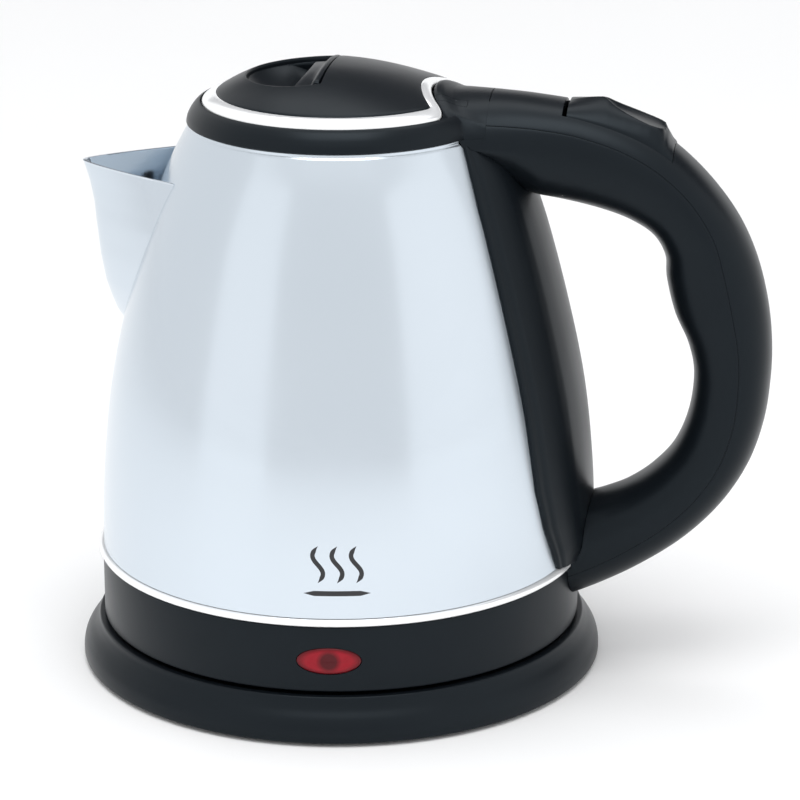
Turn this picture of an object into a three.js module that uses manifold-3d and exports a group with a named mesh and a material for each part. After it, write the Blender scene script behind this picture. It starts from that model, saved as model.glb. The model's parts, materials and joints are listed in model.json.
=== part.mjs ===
// Electric kettle with a swivel power base: 1.5 litre polished steel body, black mouldings.
// Millimetres, +Z up. The origin is on the kettle's axis, on the surface that the feet stand on.
// The handle points along +X and the spout along -X.

import * as THREE from "three";
import { mergeVertices } from "three/addons/utils/BufferGeometryUtils.js";
import Module from "manifold-3d";

const wasm = await Module();
wasm.setup();

// ---------------------------------------------------------------- driving dimensions

const GAP = 0.3;                 // clearance between pieces that touch
const ROUND = 32;                // facets round a large turned piece
const ROUND_SMALL = 16;          // facets round a small turned piece

const BASE_R = 80;               // power base, widest radius
const BASE_RIM_Z = 13.6;         // top edge of the power base
const SKIRT_Z = 1;               // lower edge of the base skirt
const DISH_Z = 11;               // recessed floor that the kettle stands on
const PLATE_R = 77.2;            // base bottom plate
const HUB_FACE_Z = 1.2;          // flat hub under the bottom plate
const FOOT_COUNT = 6;
const FOOT_RING_R = 70;
const FOOT_PHASE = -7;           // degrees from the handle side
const FOOT_R = 6;
const FOOT_H = 1.5;
const ENTRY_R = 4.6;             // cord entry notch in the skirt
const ENTRY_Z = 5.6;
const ISLAND_R = 21.5;           // connector island on the base
const ISLAND_Z = 23;
const GROOVE_IN_R = 11.5;        // ring groove in the island
const GROOVE_OUT_R = 15;
const PIN_HOLE_R = 3.6;

const COVER_R = 73.3;            // kettle bottom cover
const COVER_Z = [14.6, 34.6];
const BEAD_R = 74.4;             // steel bead between cover and body
const BEAD_Z = [34.9, 37];
const STEEL = 0.9;               // sheet thickness
const BODY_OUTLINE = [           // radius and height of the steel body
  [73.1, 37.3], [72.1, 61.9], [69.2, 87.7], [63.7, 113.5], [56.6, 139.4], [50.6, 154.8], [44, 167.5],
];
const BODY_TOP = [42.4, 170.6];  // hidden edge inside the collar
const RECESS_R = 23.2;           // connector recess under the kettle

const LENS_ANGLE = -83;          // degrees from the handle
const LENS_Z = 24.2;
const LENS_SIZE = [18.9, 8.1];

const SPOUT_RIM_Z = 152;
const SPOUT_FOOT_Z = 104;
const SPOUT_TIP_X = -78;
const SPOUT_SHEET = 0.8;

const COLLAR_R = 45.2;           // collar, lower edge
const COLLAR_Z = 167.5;
const LEDGE_Z = 172.5;
const MOUTH_R = 39.4;            // pouring and filling mouth
const RING_R = 40.5;             // lid trim ring, outer edge
const RING_Z = 174;
const PANEL_R = 36;              // lid panel edge
const PANEL_Z = 176.3;
const DOME_RISE = 8.2;
const DOME_POWER = 2.2;
const DOME_TILT = 0.3;           // the dome is higher on the spout side
const NOTCH_X = 62;              // centre of the arc that the lid leaves for the hinge boss
const NOTCH_R = 33.8;
const TRIM_WIDTH = 4.4;
const PIN = [36.5, 176];         // lid hinge pin, x and z
const BOSS_HALF_WIDTH = 16.5;
const ARM_Y = 11;                // lid arms on the hinge pin
const ARM_WIDTH = 3;

const SCOOP = { x: -9, z: 184, rx: 19.5, ry: 21, rz: 11 };
const SCOOP_BACK_X = -9.6;
const FLAP_HALF_WIDTH = 19;
const LEVER_PIVOT = [-3, 183];

const HANDLE_WIDTH = 34;
const HANDLE_ROUND = 5;
const HANDLE_WALL = 2.5;
const HANDLE_FRONT_X = 46.2;     // joint between the hinge boss and the handle
const SPINE_PROUD = 5;
const ROCKER_WIDTH = 20.6;
const ROCKER_PIVOT = [84, 166];
const TRIP_PIVOT = [88, 159.8];

// ---------------------------------------------------------------- materials

const finish = (color, roughness, metalness) =>
  new THREE.MeshStandardMaterial({ color, roughness, metalness });
const BLACK = finish(0x1a1d20, 0.42, 0);
const POLISHED = finish(0xdfe3ea, 0.14, 1);
const CHROME = finish(0xf2f3f5, 0.06, 1);
const RUBBER = finish(0x202020, 0.9, 0);
const SILICONE = finish(0xd8d4cc, 0.6, 0);
const BRASS = finish(0xc09a50, 0.35, 1);
const ALUMINIUM = finish(0xb9bcc0, 0.45, 1);
const ELEMENT = finish(0x77797c, 0.5, 1);
const ZINC = finish(0xa9acb0, 0.35, 1);
const WHITE = finish(0xe6e4dc, 0.5, 0);
const LENS_RED = finish(0x8c1212, 0.15, 0);
const NEON = finish(0xd88a50, 0.2, 0);
const WIRE = finish(0xb4482a, 0.55, 0);

// ---------------------------------------------------------------- solid helpers

// Welds a closed geometry, drops its collapsed triangles and turns its faces outwards.
function solid(geometry) {
  const bare = geometry.clone();
  bare.deleteAttribute("normal");
  bare.deleteAttribute("uv");
  const merged = mergeVertices(bare, 1e-4);
  const place = merged.attributes.position;
  const index = Array.from(merged.index.array);
  const kept = [];
  let volume = 0;
  const [a, b, c] = [new THREE.Vector3(), new THREE.Vector3(), new THREE.Vector3()];
  for (let i = 0; i < index.length; i += 3) {
    const [p, q, r] = index.slice(i, i + 3);
    if (p === q || q === r || r === p) continue;
    a.fromBufferAttribute(place, p);
    b.fromBufferAttribute(place, q);
    c.fromBufferAttribute(place, r);
    volume += a.dot(b.cross(c));
    kept.push([p, q, r]);
  }
  const order = volume > 0 ? kept : kept.map(([p, q, r]) => [p, r, q]);
  return new wasm.Manifold(new wasm.Mesh({
    numProp: 3,
    vertProperties: Float32Array.from(place.array),
    triVerts: Uint32Array.from(order.flat()),
  }));
}

// Cuts along nearly matching faces leave specks, so those under a twentieth of a cubic millimetre go.
function geometryOf(body) {
  const pieces = body.decompose().filter((piece) => piece.volume() > 0.05);
  const mesh = pieces.reduce((sum, piece) => sum.add(piece)).getMesh();
  const geometry = new THREE.BufferGeometry();
  geometry.setAttribute("position", new THREE.BufferAttribute(mesh.vertProperties, 3));
  geometry.setIndex(new THREE.BufferAttribute(mesh.triVerts, 1));
  return geometry;
}

// A piece turned about the Z axis from a closed outline of radius and height.
function turned(outline, facets = ROUND) {
  const open = outline[0][0] === 0 && outline.at(-1)[0] === 0;
  const points = (open ? outline : [...outline, outline[0]]).map(([r, z]) => new THREE.Vector2(r, z));
  return solid(new THREE.LatheGeometry(points, facets).rotateX(Math.PI / 2));
}

function box(x, y, z) {
  const size = [x[1] - x[0], y[1] - y[0], z[1] - z[0]];
  const middle = [(x[0] + x[1]) / 2, (y[0] + y[1]) / 2, (z[0] + z[1]) / 2];
  return solid(new THREE.BoxGeometry(...size).translate(...middle));
}

// A round bar between two heights, standing at x and y.
function post(x, y, z, radius, facets = ROUND_SMALL) {
  const bar = new THREE.CylinderGeometry(radius, radius, z[1] - z[0], facets);
  return solid(bar.rotateX(Math.PI / 2).translate(x, y, (z[0] + z[1]) / 2));
}

// A round bar lying across the kettle, along Y.
function crossBar(x, z, y, radius, facets = ROUND_SMALL) {
  const bar = new THREE.CylinderGeometry(radius, radius, y[1] - y[0], facets);
  return solid(bar.translate(x, (y[0] + y[1]) / 2, z));
}

// A plate cut from an outline of x and z, with its faces at the two y values.
function plate(outline, y) {
  const shape = new THREE.Shape(outline.map(([u, v]) => new THREE.Vector2(u, v)));
  const sheet = new THREE.ExtrudeGeometry(shape, { depth: y[1] - y[0], bevelEnabled: false });
  return solid(sheet.rotateX(Math.PI / 2).translate(0, y[1], 0));
}

// A tube through a list of points.
function tube(points, radius, steps, sides) {
  const path = new THREE.CatmullRomCurve3(points.map((p) => new THREE.Vector3(...p)), false, "centripetal");
  const ring = [];
  for (let i = 0; i < sides; i += 1) {
    const turn = (i / sides) * 2 * Math.PI;
    ring.push(new THREE.Vector2(radius * Math.cos(turn), radius * Math.sin(turn)));
  }
  const section = new THREE.Shape(ring);
  return solid(new THREE.ExtrudeGeometry(section, { extrudePath: path, steps, bevelEnabled: false }));
}

// A sheet between an outer and an inner grid of points, closed round its four edges.
function sheetBetween(outer, inner) {
  const rows = outer.length;
  const columns = outer[0].length;
  const layer = rows * columns;
  const index = [];
  const quad = (a, b, c, d) => index.push(a, b, c, a, c, d);
  const at = (i, j, k) => k * layer + i * columns + j;
  for (let i = 0; i < rows - 1; i += 1) {
    for (let j = 0; j < columns - 1; j += 1) {
      quad(at(i, j, 0), at(i + 1, j, 0), at(i + 1, j + 1, 0), at(i, j + 1, 0));
      quad(at(i, j, 1), at(i, j + 1, 1), at(i + 1, j + 1, 1), at(i + 1, j, 1));
    }
    quad(at(i, 0, 0), at(i, 0, 1), at(i + 1, 0, 1), at(i + 1, 0, 0));
    quad(at(i, columns - 1, 0), at(i + 1, columns - 1, 0), at(i + 1, columns - 1, 1), at(i, columns - 1, 1));
  }
  for (let j = 0; j < columns - 1; j += 1) {
    quad(at(0, j, 0), at(0, j + 1, 0), at(0, j + 1, 1), at(0, j, 1));
    quad(at(rows - 1, j, 0), at(rows - 1, j, 1), at(rows - 1, j + 1, 1), at(rows - 1, j + 1, 0));
  }
  const geometry = new THREE.BufferGeometry();
  const place = [...outer.flat(), ...inner.flat()].flat();
  geometry.setAttribute("position", new THREE.Float32BufferAttribute(place, 3));
  geometry.setIndex(index);
  return solid(geometry);
}

function named(name, body, material) {
  const mesh = new THREE.Mesh(geometryOf(body), material);
  mesh.name = name;
  return mesh;
}

function grouped(...meshes) {
  const group = new THREE.Group();
  group.add(...meshes.flat());
  return group;
}

const polar = (radius, degrees) => {
  const turn = THREE.MathUtils.degToRad(degrees);
  return [radius * Math.cos(turn), radius * Math.sin(turn)];
};

// Value at t from a rising list of [t, value] pairs, in a straight line between them.
function along(table, t) {
  const last = table.length - 1;
  if (t <= table[0][0]) return table[0][1];
  if (t >= table[last][0]) return table[last][1];
  const i = table.findIndex((pair) => pair[0] > t);
  const [[t0, v0], [t1, v1]] = [table[i - 1], table[i]];
  return v0 + ((v1 - v0) * (t - t0)) / (t1 - t0);
}

const bodyCurve = new THREE.SplineCurve(BODY_OUTLINE.map(([r, z]) => new THREE.Vector2(r, z)));
const bodyPoints = bodyCurve.getPoints(9).map((p) => [p.x, p.y]);
const bodyTable = [...bodyPoints, BODY_TOP].map(([r, z]) => [z, r]);
const bodyRadius = (z) => along(bodyTable, z);

// ---------------------------------------------------------------- power base

function baseCover() {
  const shell = turned([
    [BASE_R, SKIRT_Z], [BASE_R, 4], [78.5, 7.7], [75.9, 10.8], [74.8, BASE_RIM_Z],
    [72.5, BASE_RIM_Z], [71.6, DISH_Z], [24, DISH_Z], [24, 9], [73.4, 9], [76.2, 7], [77.6, 4],
    [77.6, SKIRT_Z],
  ]);
  const notch = box([-ENTRY_R, ENTRY_R], [74, 84], [0, ENTRY_Z]);
  const arch = solid(new THREE.CylinderGeometry(ENTRY_R, ENTRY_R, 10, 16).translate(0, 79, ENTRY_Z));
  return shell.subtract(notch).subtract(arch);
}

function baseBottomPlate() {
  const disc = turned([
    [0, HUB_FACE_Z], [30, HUB_FACE_Z], [32, 1.8], [PLATE_R, 1.8], [PLATE_R, 3.6], [0, 3.6],
  ]);
  return screwPlaces(24).reduce((rest, [x, y]) => rest.subtract(post(x, y, [0, 3], 3.3, 12))
    .subtract(post(x, y, [0, 5], 1.8, 12)), disc);
}

const screwPlaces = (radius) => [30, 150, 270].map((degrees) => polar(radius, degrees));

function screw(x, y, headZ, headH, tipZ, headR = 2.9, shankR = 1.4) {
  const head = post(x, y, [headZ, headZ + headH], headR, 12);
  const shank = post(x, y, [headZ + headH / 2, tipZ], shankR, 8);
  const slot = box([x - 0.4, x + 0.4], [y - headR, y + headR], [headZ - 1, headZ + headH / 3]);
  return head.add(shank).subtract(slot);
}

function baseFeet() {
  return Array.from({ length: FOOT_COUNT }, (_, i) => {
    const [x, y] = polar(FOOT_RING_R, FOOT_PHASE + (i * 360) / FOOT_COUNT);
    return named(`base_foot_${i + 1}`, post(x, y, [0, FOOT_H], FOOT_R, 16), RUBBER);
  });
}

function baseSocket() {
  const moulding = turned([
    [PIN_HOLE_R, 4], [28, 4], [28, 8.6], [ISLAND_R, 8.6], [ISLAND_R, 22], [20.5, ISLAND_Z],
    [GROOVE_OUT_R, ISLAND_Z], [GROOVE_OUT_R, 9], [GROOVE_IN_R, 9], [GROOVE_IN_R, ISLAND_Z],
    [PIN_HOLE_R, ISLAND_Z],
  ], 24);
  return screwPlaces(24).reduce((rest, [x, y]) => rest.subtract(post(x, y, [3, 8], 1.8, 12)), moulding);
}

const washer = (inner, outer, z, facets = 20) =>
  turned([[inner, z[0]], [outer, z[0]], [outer, z[1]], [inner, z[1]]], facets);

function cordGrommet() {
  const body = new THREE.CylinderGeometry(4.3, 4.3, 2.9, 16).translate(0, 79.05, ENTRY_Z);
  const bore = new THREE.CylinderGeometry(3.5, 3.5, 10, 16).translate(0, 79, ENTRY_Z);
  return solid(body).subtract(solid(bore));
}

// Three low waves in a flat ring, so it lifts the shutter.
function shutterSpring() {
  const facets = 18;
  const ring = (radius, rise) => Array.from({ length: facets + 1 }, (_, i) => {
    const turn = (i / facets) * 350;
    const wave = 0.45 * Math.sin(THREE.MathUtils.degToRad(turn * 3));
    return [...polar(radius, turn), 11.15 + wave + rise];
  });
  return sheetBetween([ring(12.2, 0.15), ring(14.3, 0.15)], [ring(12.2, -0.15), ring(14.3, -0.15)]);
}

const powerBase = grouped(
  named("base_cover", baseCover(), BLACK),
  named("base_bottom_plate", baseBottomPlate(), BLACK),
  baseFeet(),
  named("base_socket", baseSocket(), BLACK),
  named("socket_live_sleeve", washer(2.9, 3.3, [5, 11], 18), BRASS),
  named("socket_neutral_ring", washer(11.9, 14.6, [9.3, 10.2]), BRASS),
  named("socket_earth_band", washer(21.8, 22.3, [12, 20]), BRASS),
  named("shutter_spring", shutterSpring(), ZINC),
  named("cord_entry_grommet", cordGrommet(), RUBBER),
  screwPlaces(24).map(([x, y], i) => named(`base_screw_${i + 1}`, screw(x, y, 1.4, 1.4, 7.6), ZINC)),
);

const socketRing = grouped(named("socket_shutter_ring", washer(11.8, 14.7, [12.3, 14.8]), WHITE));

// ---------------------------------------------------------------- kettle bottom

// An oval bar that points outwards through the bottom cover at the lens.
function lensOval(grow) {
  const oval = new THREE.Shape();
  oval.absellipse(0, 0, LENS_SIZE[0] / 2 + grow, LENS_SIZE[1] / 2 + grow, 0, 2 * Math.PI);
  const bar = new THREE.ExtrudeGeometry(oval, { depth: 12, bevelEnabled: false, curveSegments: 20 });
  bar.rotateX(Math.PI / 2).rotateZ(Math.PI);
  bar.translate(0, 66, 0).rotateZ(THREE.MathUtils.degToRad(LENS_ANGLE - 90)).translate(0, 0, LENS_Z);
  return solid(bar);
}

function bottomCover() {
  const shell = turned([
    [COVER_R, COVER_Z[0]], [COVER_R, COVER_Z[1]], [70.9, COVER_Z[1]], [70.9, 17.4], [25.5, 17.4],
    [25.5, 15.2],
    [60, 15.2], [60, DISH_Z + GAP], [63, DISH_Z + GAP], [63, 15.2], [70.9, 15.2], [71.5, COVER_Z[0]],
  ]);
  const wireHole = solid(new THREE.CylinderGeometry(5, 5, 12, 12).rotateZ(Math.PI / 2).translate(72, 0, 28));
  const screwHoles = screwPlaces(50).map(([x, y]) => post(x, y, [14, 19], 1.8, 12));
  const drilled = screwHoles.reduce((rest, hole) => rest.subtract(hole), shell);
  return drilled.subtract(lensOval(GAP)).subtract(wireHole);
}

function beadRing() {
  return turned([
    [71.2, BEAD_Z[0]], [74, BEAD_Z[0]], [BEAD_R, 35.5], [BEAD_R, 36.4], [74, BEAD_Z[1]], [71.2, BEAD_Z[1]],
  ]);
}

function heatingPlate() {
  return turned([
    [0, 39.6], [70, 39.6], [71.6, 38.8], [71.6, 37.6], [70.4, 37.6], [69.6, 38.3], [0, 38.3],
  ]);
}

// Open ring under the plate, with its two cold ends turned down.
function heatingElement() {
  const points = [];
  for (let degrees = 24; degrees <= 336; degrees += 24) points.push([...polar(45, degrees), 31]);
  const [first, last] = [polar(45, 19), polar(45, 341)];
  return tube([[...first, 24], [...first, 28.5], ...points, [...last, 28.5], [...last, 24]], 3.4, 30, 6);
}

function controlHousing() {
  return turned([
    [0, 25.2], [RECESS_R, 25.2], [RECESS_R, 15.4], [24.9, 15.4], [24.9, 17.7], [34, 17.7], [34, 20], [26, 20],
    [26, 29], [0, 29],
  ], 24);
}

function neonLamp() {
  const bulb = new THREE.CapsuleGeometry(3, 9, 3, 12).rotateZ(Math.PI / 2).translate(0, 64.5, LENS_Z);
  return solid(bulb.rotateZ(THREE.MathUtils.degToRad(LENS_ANGLE - 90)));
}

function lampLens() {
  const band = washer(70.6, COVER_R + 0.2, [18, 30], 120);
  return lensOval(0).intersect(band);
}

const switchWire = (side) => tube([
  [92.6, side, 153], [99, side, 150], [107, side, 140], [113, side, 124], [117.5, side, 106], [118, side, 90],
  [113, side, 70], [101, side, 53], [88, side, 41], [80, side, 31], [70, side, 28], [56, side, 24.5],
  [36, side, 23],
], 1.2, 26, 5);

const kettleBottom = grouped(
  named("bottom_cover", bottomCover(), BLACK),
  named("bead_ring", beadRing(), CHROME),
  named("heating_plate", heatingPlate(), POLISHED),
  named("heat_spreader", washer(4, 60, [35, 38]), ALUMINIUM),
  named("heating_element", heatingElement(), ELEMENT),
  named("control_housing", controlHousing(), BLACK),
  named("control_pin", post(0, 0, [12, 24.9], 2.2, 12), BRASS),
  named("control_ring", washer(12.5, 14.1, [15.2, 24.9]), BRASS),
  named("bimetal_disc_1", post(0, 15, [33.9, 34.5], 7, 16), ZINC),
  named("bimetal_disc_2", post(0, -15, [33.9, 34.5], 7, 16), ZINC),
  named("indicator_lens", lampLens(), LENS_RED),
  named("neon_lamp", neonLamp(), NEON),
  named("switch_wire_1", switchWire(-3), WIRE),
  named("switch_wire_2", switchWire(3), WIRE),
  screwPlaces(50).map(([x, y], i) => named(`bottom_screw_${i + 1}`, screw(x, y, 12.9, 2, 27), ZINC)),
);

// ---------------------------------------------------------------- steel body and spout

function strainerHoles() {
  const holes = [];
  [[121, 2], [131, 3], [141, 4]].forEach(([z, count]) => {
    for (let i = 0; i < count; i += 1) {
      const y = (i - (count - 1) / 2) * 8;
      const bar = new THREE.CylinderGeometry(1.8, 1.8, 30, 6).rotateZ(Math.PI / 2);
      holes.push(solid(bar.translate(-56, y, z)));
    }
  });
  return holes;
}

function steelBody() {
  const outside = [...bodyPoints, BODY_TOP];
  const inside = outside.map(([r, z]) => [r - STEEL, z]).reverse();
  return strainerHoles().reduce((rest, hole) => rest.subtract(hole), turned([...outside, ...inside]));
}

const SPOUT_SPREAD = [[104, 4], [110, 12], [116, 16.5], [125, 21], [136, 26], [144, 28.3], [152, 31]];
const SPOUT_KEEL = [
  [104, 67.4], [108, 69.4], [114, 71.4], [122, 73.1], [131, 74.2], [140, 75], [147, 76.5],
  [SPOUT_RIM_Z, -SPOUT_TIP_X],
];

function spout() {
  const rows = 10;
  const columns = 12;
  const side = (thickness) => Array.from({ length: rows + 1 }, (_, i) => {
    const z = SPOUT_FOOT_Z + ((SPOUT_RIM_Z - SPOUT_FOOT_Z) * i) / rows;
    const spread = along(SPOUT_SPREAD, z);
    const [edgeX, edgeY] = polar(bodyRadius(z) + 0.4, spread);
    const keel = along(SPOUT_KEEL, z) - thickness * 1.4;
    return Array.from({ length: columns + 1 }, (__, j) => {
      const s = (2 * j) / columns - 1;
      const rounded = Math.sqrt(s * s + 0.01) - 0.1 * (1 - Math.abs(s));
      const reach = Math.min(rounded, 1);
      const x = keel + (edgeX - keel) * reach;
      return [-x, s * (edgeY - thickness), z];
    });
  });
  return sheetBetween(side(0), side(SPOUT_SHEET));
}

// ---------------------------------------------------------------- collar and hinge boss

// A barrel on the pin's axis, as thick everywhere as the lid's swing leaves room for.
function hingeBarrel() {
  const steps = 10;
  const outline = [new THREE.Vector2(0, -BOSS_HALF_WIDTH)];
  for (let i = 0; i <= steps; i += 1) {
    const y = BOSS_HALF_WIDTH * ((2 * i) / steps - 1);
    const noseX = NOTCH_X - Math.sqrt((NOTCH_R - GAP) ** 2 - y * y);
    outline.push(new THREE.Vector2(PIN[0] - noseX, y));
  }
  outline.push(new THREE.Vector2(0, BOSS_HALF_WIDTH));
  return solid(new THREE.LatheGeometry(outline, 40).translate(PIN[0], 0, PIN[1]));
}

function hingeBoss() {
  const block = plate([
    [29.2, 172.9], [28.7, 175], [28.8, 177.4], [29.4, 179], [31.2, 179.8], [33.4, 179.2], [35.5, 178.1],
    [HANDLE_FRONT_X - GAP, 177.9], [HANDLE_FRONT_X - GAP, 168], [43.6, 169.6], [42.4, 171.6], [41.2, 172.9],
  ], [-BOSS_HALF_WIDTH, BOSS_HALF_WIDTH]);
  const back = box([PIN[0], 60], [-BOSS_HALF_WIDTH, BOSS_HALF_WIDTH], [160, 190]);
  const slots = [-ARM_Y, ARM_Y].map((y) => {
    const half = ARM_WIDTH / 2 + GAP;
    return box([20, PIN[0] + 4], [y - half, y + half], [165, 190]);
  });
  const bore = crossBar(PIN[0], PIN[1], [-15, 15], 1.35, 12);
  const boss = block.intersect(hingeBarrel().add(back)).subtract(bore);
  return slots.reduce((rest, cut) => rest.subtract(cut), boss);
}

function collar() {
  const ring = turned([
    [COLLAR_R, COLLAR_Z], [44.7, 169.3], [43.4, 171.6], [42, 173.2], [40.9, 173.9], [40.9, LEDGE_Z],
    [MOUTH_R, LEDGE_Z], [MOUTH_R, 163], [41.1, 163], [41.1, 171], [42.9, 171], [43.6, 169], [44.45, COLLAR_Z],
  ]);
  const catchNotch = box([-42, -39], [-6, 6], [167.4, 171.4]);
  const steamHole = new THREE.CylinderGeometry(2.5, 2.5, 4, 12).rotateZ(Math.PI / 2);
  return ring.add(hingeBoss()).subtract(catchNotch).subtract(solid(steamHole.translate(40.4, 0, 166.5)));
}

// ---------------------------------------------------------------- spine and handle

const SPINE_SPREAD = [
  [37.6, 18], [45, 21], [52, 24], [65, 27], [90, 28.7], [114, 30], [137, 31], [149, 31], [166, 27],
];

// How far the panel stands off the steel, from its flange to its crest.
function spineProfile(part) {
  return along([[0, SPINE_PROUD], [0.6, SPINE_PROUD - 0.4], [0.86, 3], [0.9, 1.6], [1, 1.3]], Math.abs(part));
}

function spinePanel() {
  const steps = [-1, -0.9, -0.86, -0.6, -0.3, 0, 0.3, 0.6, 0.86, 0.9, 1];
  const heights = [37.6, 45, 52, 65, 78, 90, 102, 114, 126, 137, 149, 158, 166];
  const side = (offset) => heights.map((z) => steps.map((step) => {
    const angle = step * along(SPINE_SPREAD, z);
    return [...polar(bodyRadius(z) + offset(step), angle), z];
  }));
  const wall = 1.4;
  return sheetBetween(side(spineProfile), side((step) => Math.max(0.35, spineProfile(step) - wall)));
}

function curvePoints(points, count) {
  const curve = new THREE.SplineCurve(points.map(([u, v]) => new THREE.Vector2(u, v)));
  return curve.getPoints(count).map((p) => [p.x, p.y]);
}

const HANDLE_OUTSIDE = [
  [40, 177.9], [58, 176.8], [74, 174.4], [92, 168.3], [109.1, 155.4], [124, 132.6], [130.4, 102],
  [126.1, 70.3], [110.6, 46.5], [86.6, 29.4], [68, 21.5],
];
const HANDLE_INSIDE = [
  [68, 54], [80, 55], [92.9, 62.1], [103.7, 75.5], [107.4, 93], [104.1, 106.9], [99, 120], [98, 130],
  [91, 139.4], [76, 145], [58.5, 147.7], [40, 148.5],
];
const PARTING = [
  [36, 169.5], [60, 169.5], [80, 165], [93, 160.5], [108, 149], [115.5, 133], [118.5, 115], [119, 95],
  [116, 78], [107, 61], [94, 47], [80, 38], [60, 30],
];

function handleSolid(wall) {
  const outline = [...curvePoints(HANDLE_OUTSIDE, 18), ...curvePoints(HANDLE_INSIDE, 18)];
  const shape = new THREE.Shape(outline.map(([u, v]) => new THREE.Vector2(u, v)));
  const round = HANDLE_ROUND - wall;
  const bar = new THREE.ExtrudeGeometry(shape, {
    depth: HANDLE_WIDTH - 2 * HANDLE_ROUND,
    bevelThickness: round,
    bevelSize: round,
    bevelOffset: -round - wall,
    bevelSegments: 2,
  });
  return solid(bar.rotateX(Math.PI / 2).translate(0, HANDLE_WIDTH / 2 - HANDLE_ROUND, 0));
}

// Everything on the parting line's outer side, moved out by half the gap or so.
function outerSide(shift) {
  const line = curvePoints(PARTING, 18)
    .map(([x, z]) => [x + (x > 100 ? shift : 0), z + (z > 100 ? shift : -shift)]);
  return plate([...line, [60, 0], [160, 0], [160, 200], [36, 200]], [-40, 40]);
}

function kettleEnvelope() {
  const clear = SPINE_PROUD + 0.4;
  const wrapped = bodyPoints.map(([r, z]) => [r + clear, z]);
  return turned([
    [0, 10], [COVER_R + 0.4, 10], [COVER_R + 0.4, 34.7], [BEAD_R + 0.4, 34.7], [BEAD_R + 0.4, 37.2],
    ...wrapped, [44.4 + clear, 167.5], [46.4, 168.2], [46.4, 190], [0, 190],
  ]);
}

const rockerWell = () => box([67.6, 101.2], [-ROCKER_WIDTH / 2 - 0.6, ROCKER_WIDTH / 2 + 0.6], [158, 190]);

function handleShell() {
  const keep = box([HANDLE_FRONT_X, 150], [-30, 30], [0, 190]);
  return handleSolid(0).subtract(handleSolid(HANDLE_WALL)).subtract(kettleEnvelope()).intersect(keep);
}

function handleOuterCover(shell) {
  return shell.intersect(outerSide(0.2)).subtract(rockerWell());
}

function handleInnerGrip(shell) {
  return shell.subtract(outerSide(-0.2));
}

// ---------------------------------------------------------------- switch in the handle

function switchRocker() {
  const half = ROCKER_WIDTH / 2;
  const cap = plate([
    [68.6, 169.5], [68.6, 175], [73, 176.4], [79.5, 176.6], [84.5, 173.8], [89.4, 172], [93.8, 170.4],
    [96.7, 169.3], [98, 167.6], [99.8, 164], [98, 162.8], [86, 164.2], [84, 163.6], [82, 164.2], [72, 168],
  ], [-half, half]);
  const foot = box([74.8, 77.2], [-3, 3], [161, 169.5]);
  return cap.add(foot).subtract(crossBar(ROCKER_PIVOT[0], ROCKER_PIVOT[1], [-20, 20], 1.3, 12));
}

function steamSwitchBody() {
  const block = box([68, 91], [-11, 11], [149.4, 157.6]);
  const pocket = box([70, 88], [-8, 8], [153.6, 160]);
  const cheeks = [[-11, -8.6], [8.6, 11]].map((y) => box([82, 91], y, [157, 161.4]));
  const pivot = crossBar(TRIP_PIVOT[0], TRIP_PIVOT[1], [-20, 20], 1.2, 10);
  return cheeks.reduce((rest, cheek) => rest.add(cheek), block.subtract(pocket)).subtract(pivot);
}

function tripLever() {
  const bar = plate([[75, 158.4], [88, 157.7], [90, 159.8], [88, 161.2], [84, 160.7], [75, 160.6]], [-3, 3]);
  return bar.subtract(crossBar(TRIP_PIVOT[0], TRIP_PIVOT[1], [-5, 5], 1.2, 10));
}

// An arched leaf between the lever and the switch case, which snaps the rocker over.
function rockerSpring() {
  const height = (t) => 154.4 + 2.6 * Math.sin(Math.PI * t);
  const arch = (lift) => [0, 0.25, 0.5, 0.75, 1].map((t) => [70 + 9 * t, height(t) + lift]);
  return plate([...arch(0.4), ...arch(0).reverse()], [4.5, 7.5]);
}

const shell = handleShell();
const kettleShells = grouped(
  named("kettle_body", steelBody(), POLISHED),
  named("spout", spout(), POLISHED),
  named("collar", collar(), BLACK),
  named("lid_hinge_pin", crossBar(PIN[0], PIN[1], [-14.6, 14.6], 1.05, 10), ZINC),
  named("spine_panel", spinePanel(), BLACK),
  named("handle_outer_cover", handleOuterCover(shell), BLACK),
  named("handle_inner_grip", handleInnerGrip(shell), BLACK),
  named("steam_switch_body", steamSwitchBody(), WHITE),
  named("steam_bimetal", box([71, 86], [-5, 5], [154, 154.5]), ZINC),
  named("trip_lever_pin", crossBar(TRIP_PIVOT[0], TRIP_PIVOT[1], [-10.8, 10.8], 0.85, 8), ZINC),
  named("rocker_pin", crossBar(ROCKER_PIVOT[0], ROCKER_PIVOT[1], [-10.7, 10.7], 0.95, 8), ZINC),
  named("rocker_spring", rockerSpring(), ZINC),
);
const rocker = grouped(named("switch_rocker", switchRocker(), BLACK));
const lever = grouped(named("trip_lever", tripLever(), WHITE));

// ---------------------------------------------------------------- lid

const domeHeight = (x, y) => {
  const part = Math.min(Math.hypot(x, y) / PANEL_R, 1);
  return PANEL_Z + DOME_RISE * (1 - part ** DOME_POWER) * (1 - (DOME_TILT * x) / PANEL_R);
};

// A solid under the dome surface lowered by drop, down to a flat floor.
function domeSolid(radius, drop, floor) {
  const outline = [[0, floor], [radius, floor]];
  for (let i = 5; i >= 0; i -= 1) outline.push([(radius * i) / 5, PANEL_Z + i / 100]);
  const points = outline.map(([r, z]) => new THREE.Vector2(r, z));
  const geometry = new THREE.LatheGeometry(points, ROUND).rotateX(Math.PI / 2);
  const place = geometry.attributes.position;
  for (let i = 0; i < place.count; i += 1) {
    if (place.getZ(i) >= PANEL_Z - 0.001) place.setZ(i, domeHeight(place.getX(i), place.getY(i)) - drop);
  }
  return solid(geometry);
}

const bossClearance = (extra) => post(NOTCH_X, 0, [150, 200], NOTCH_R + extra, 48);

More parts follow.
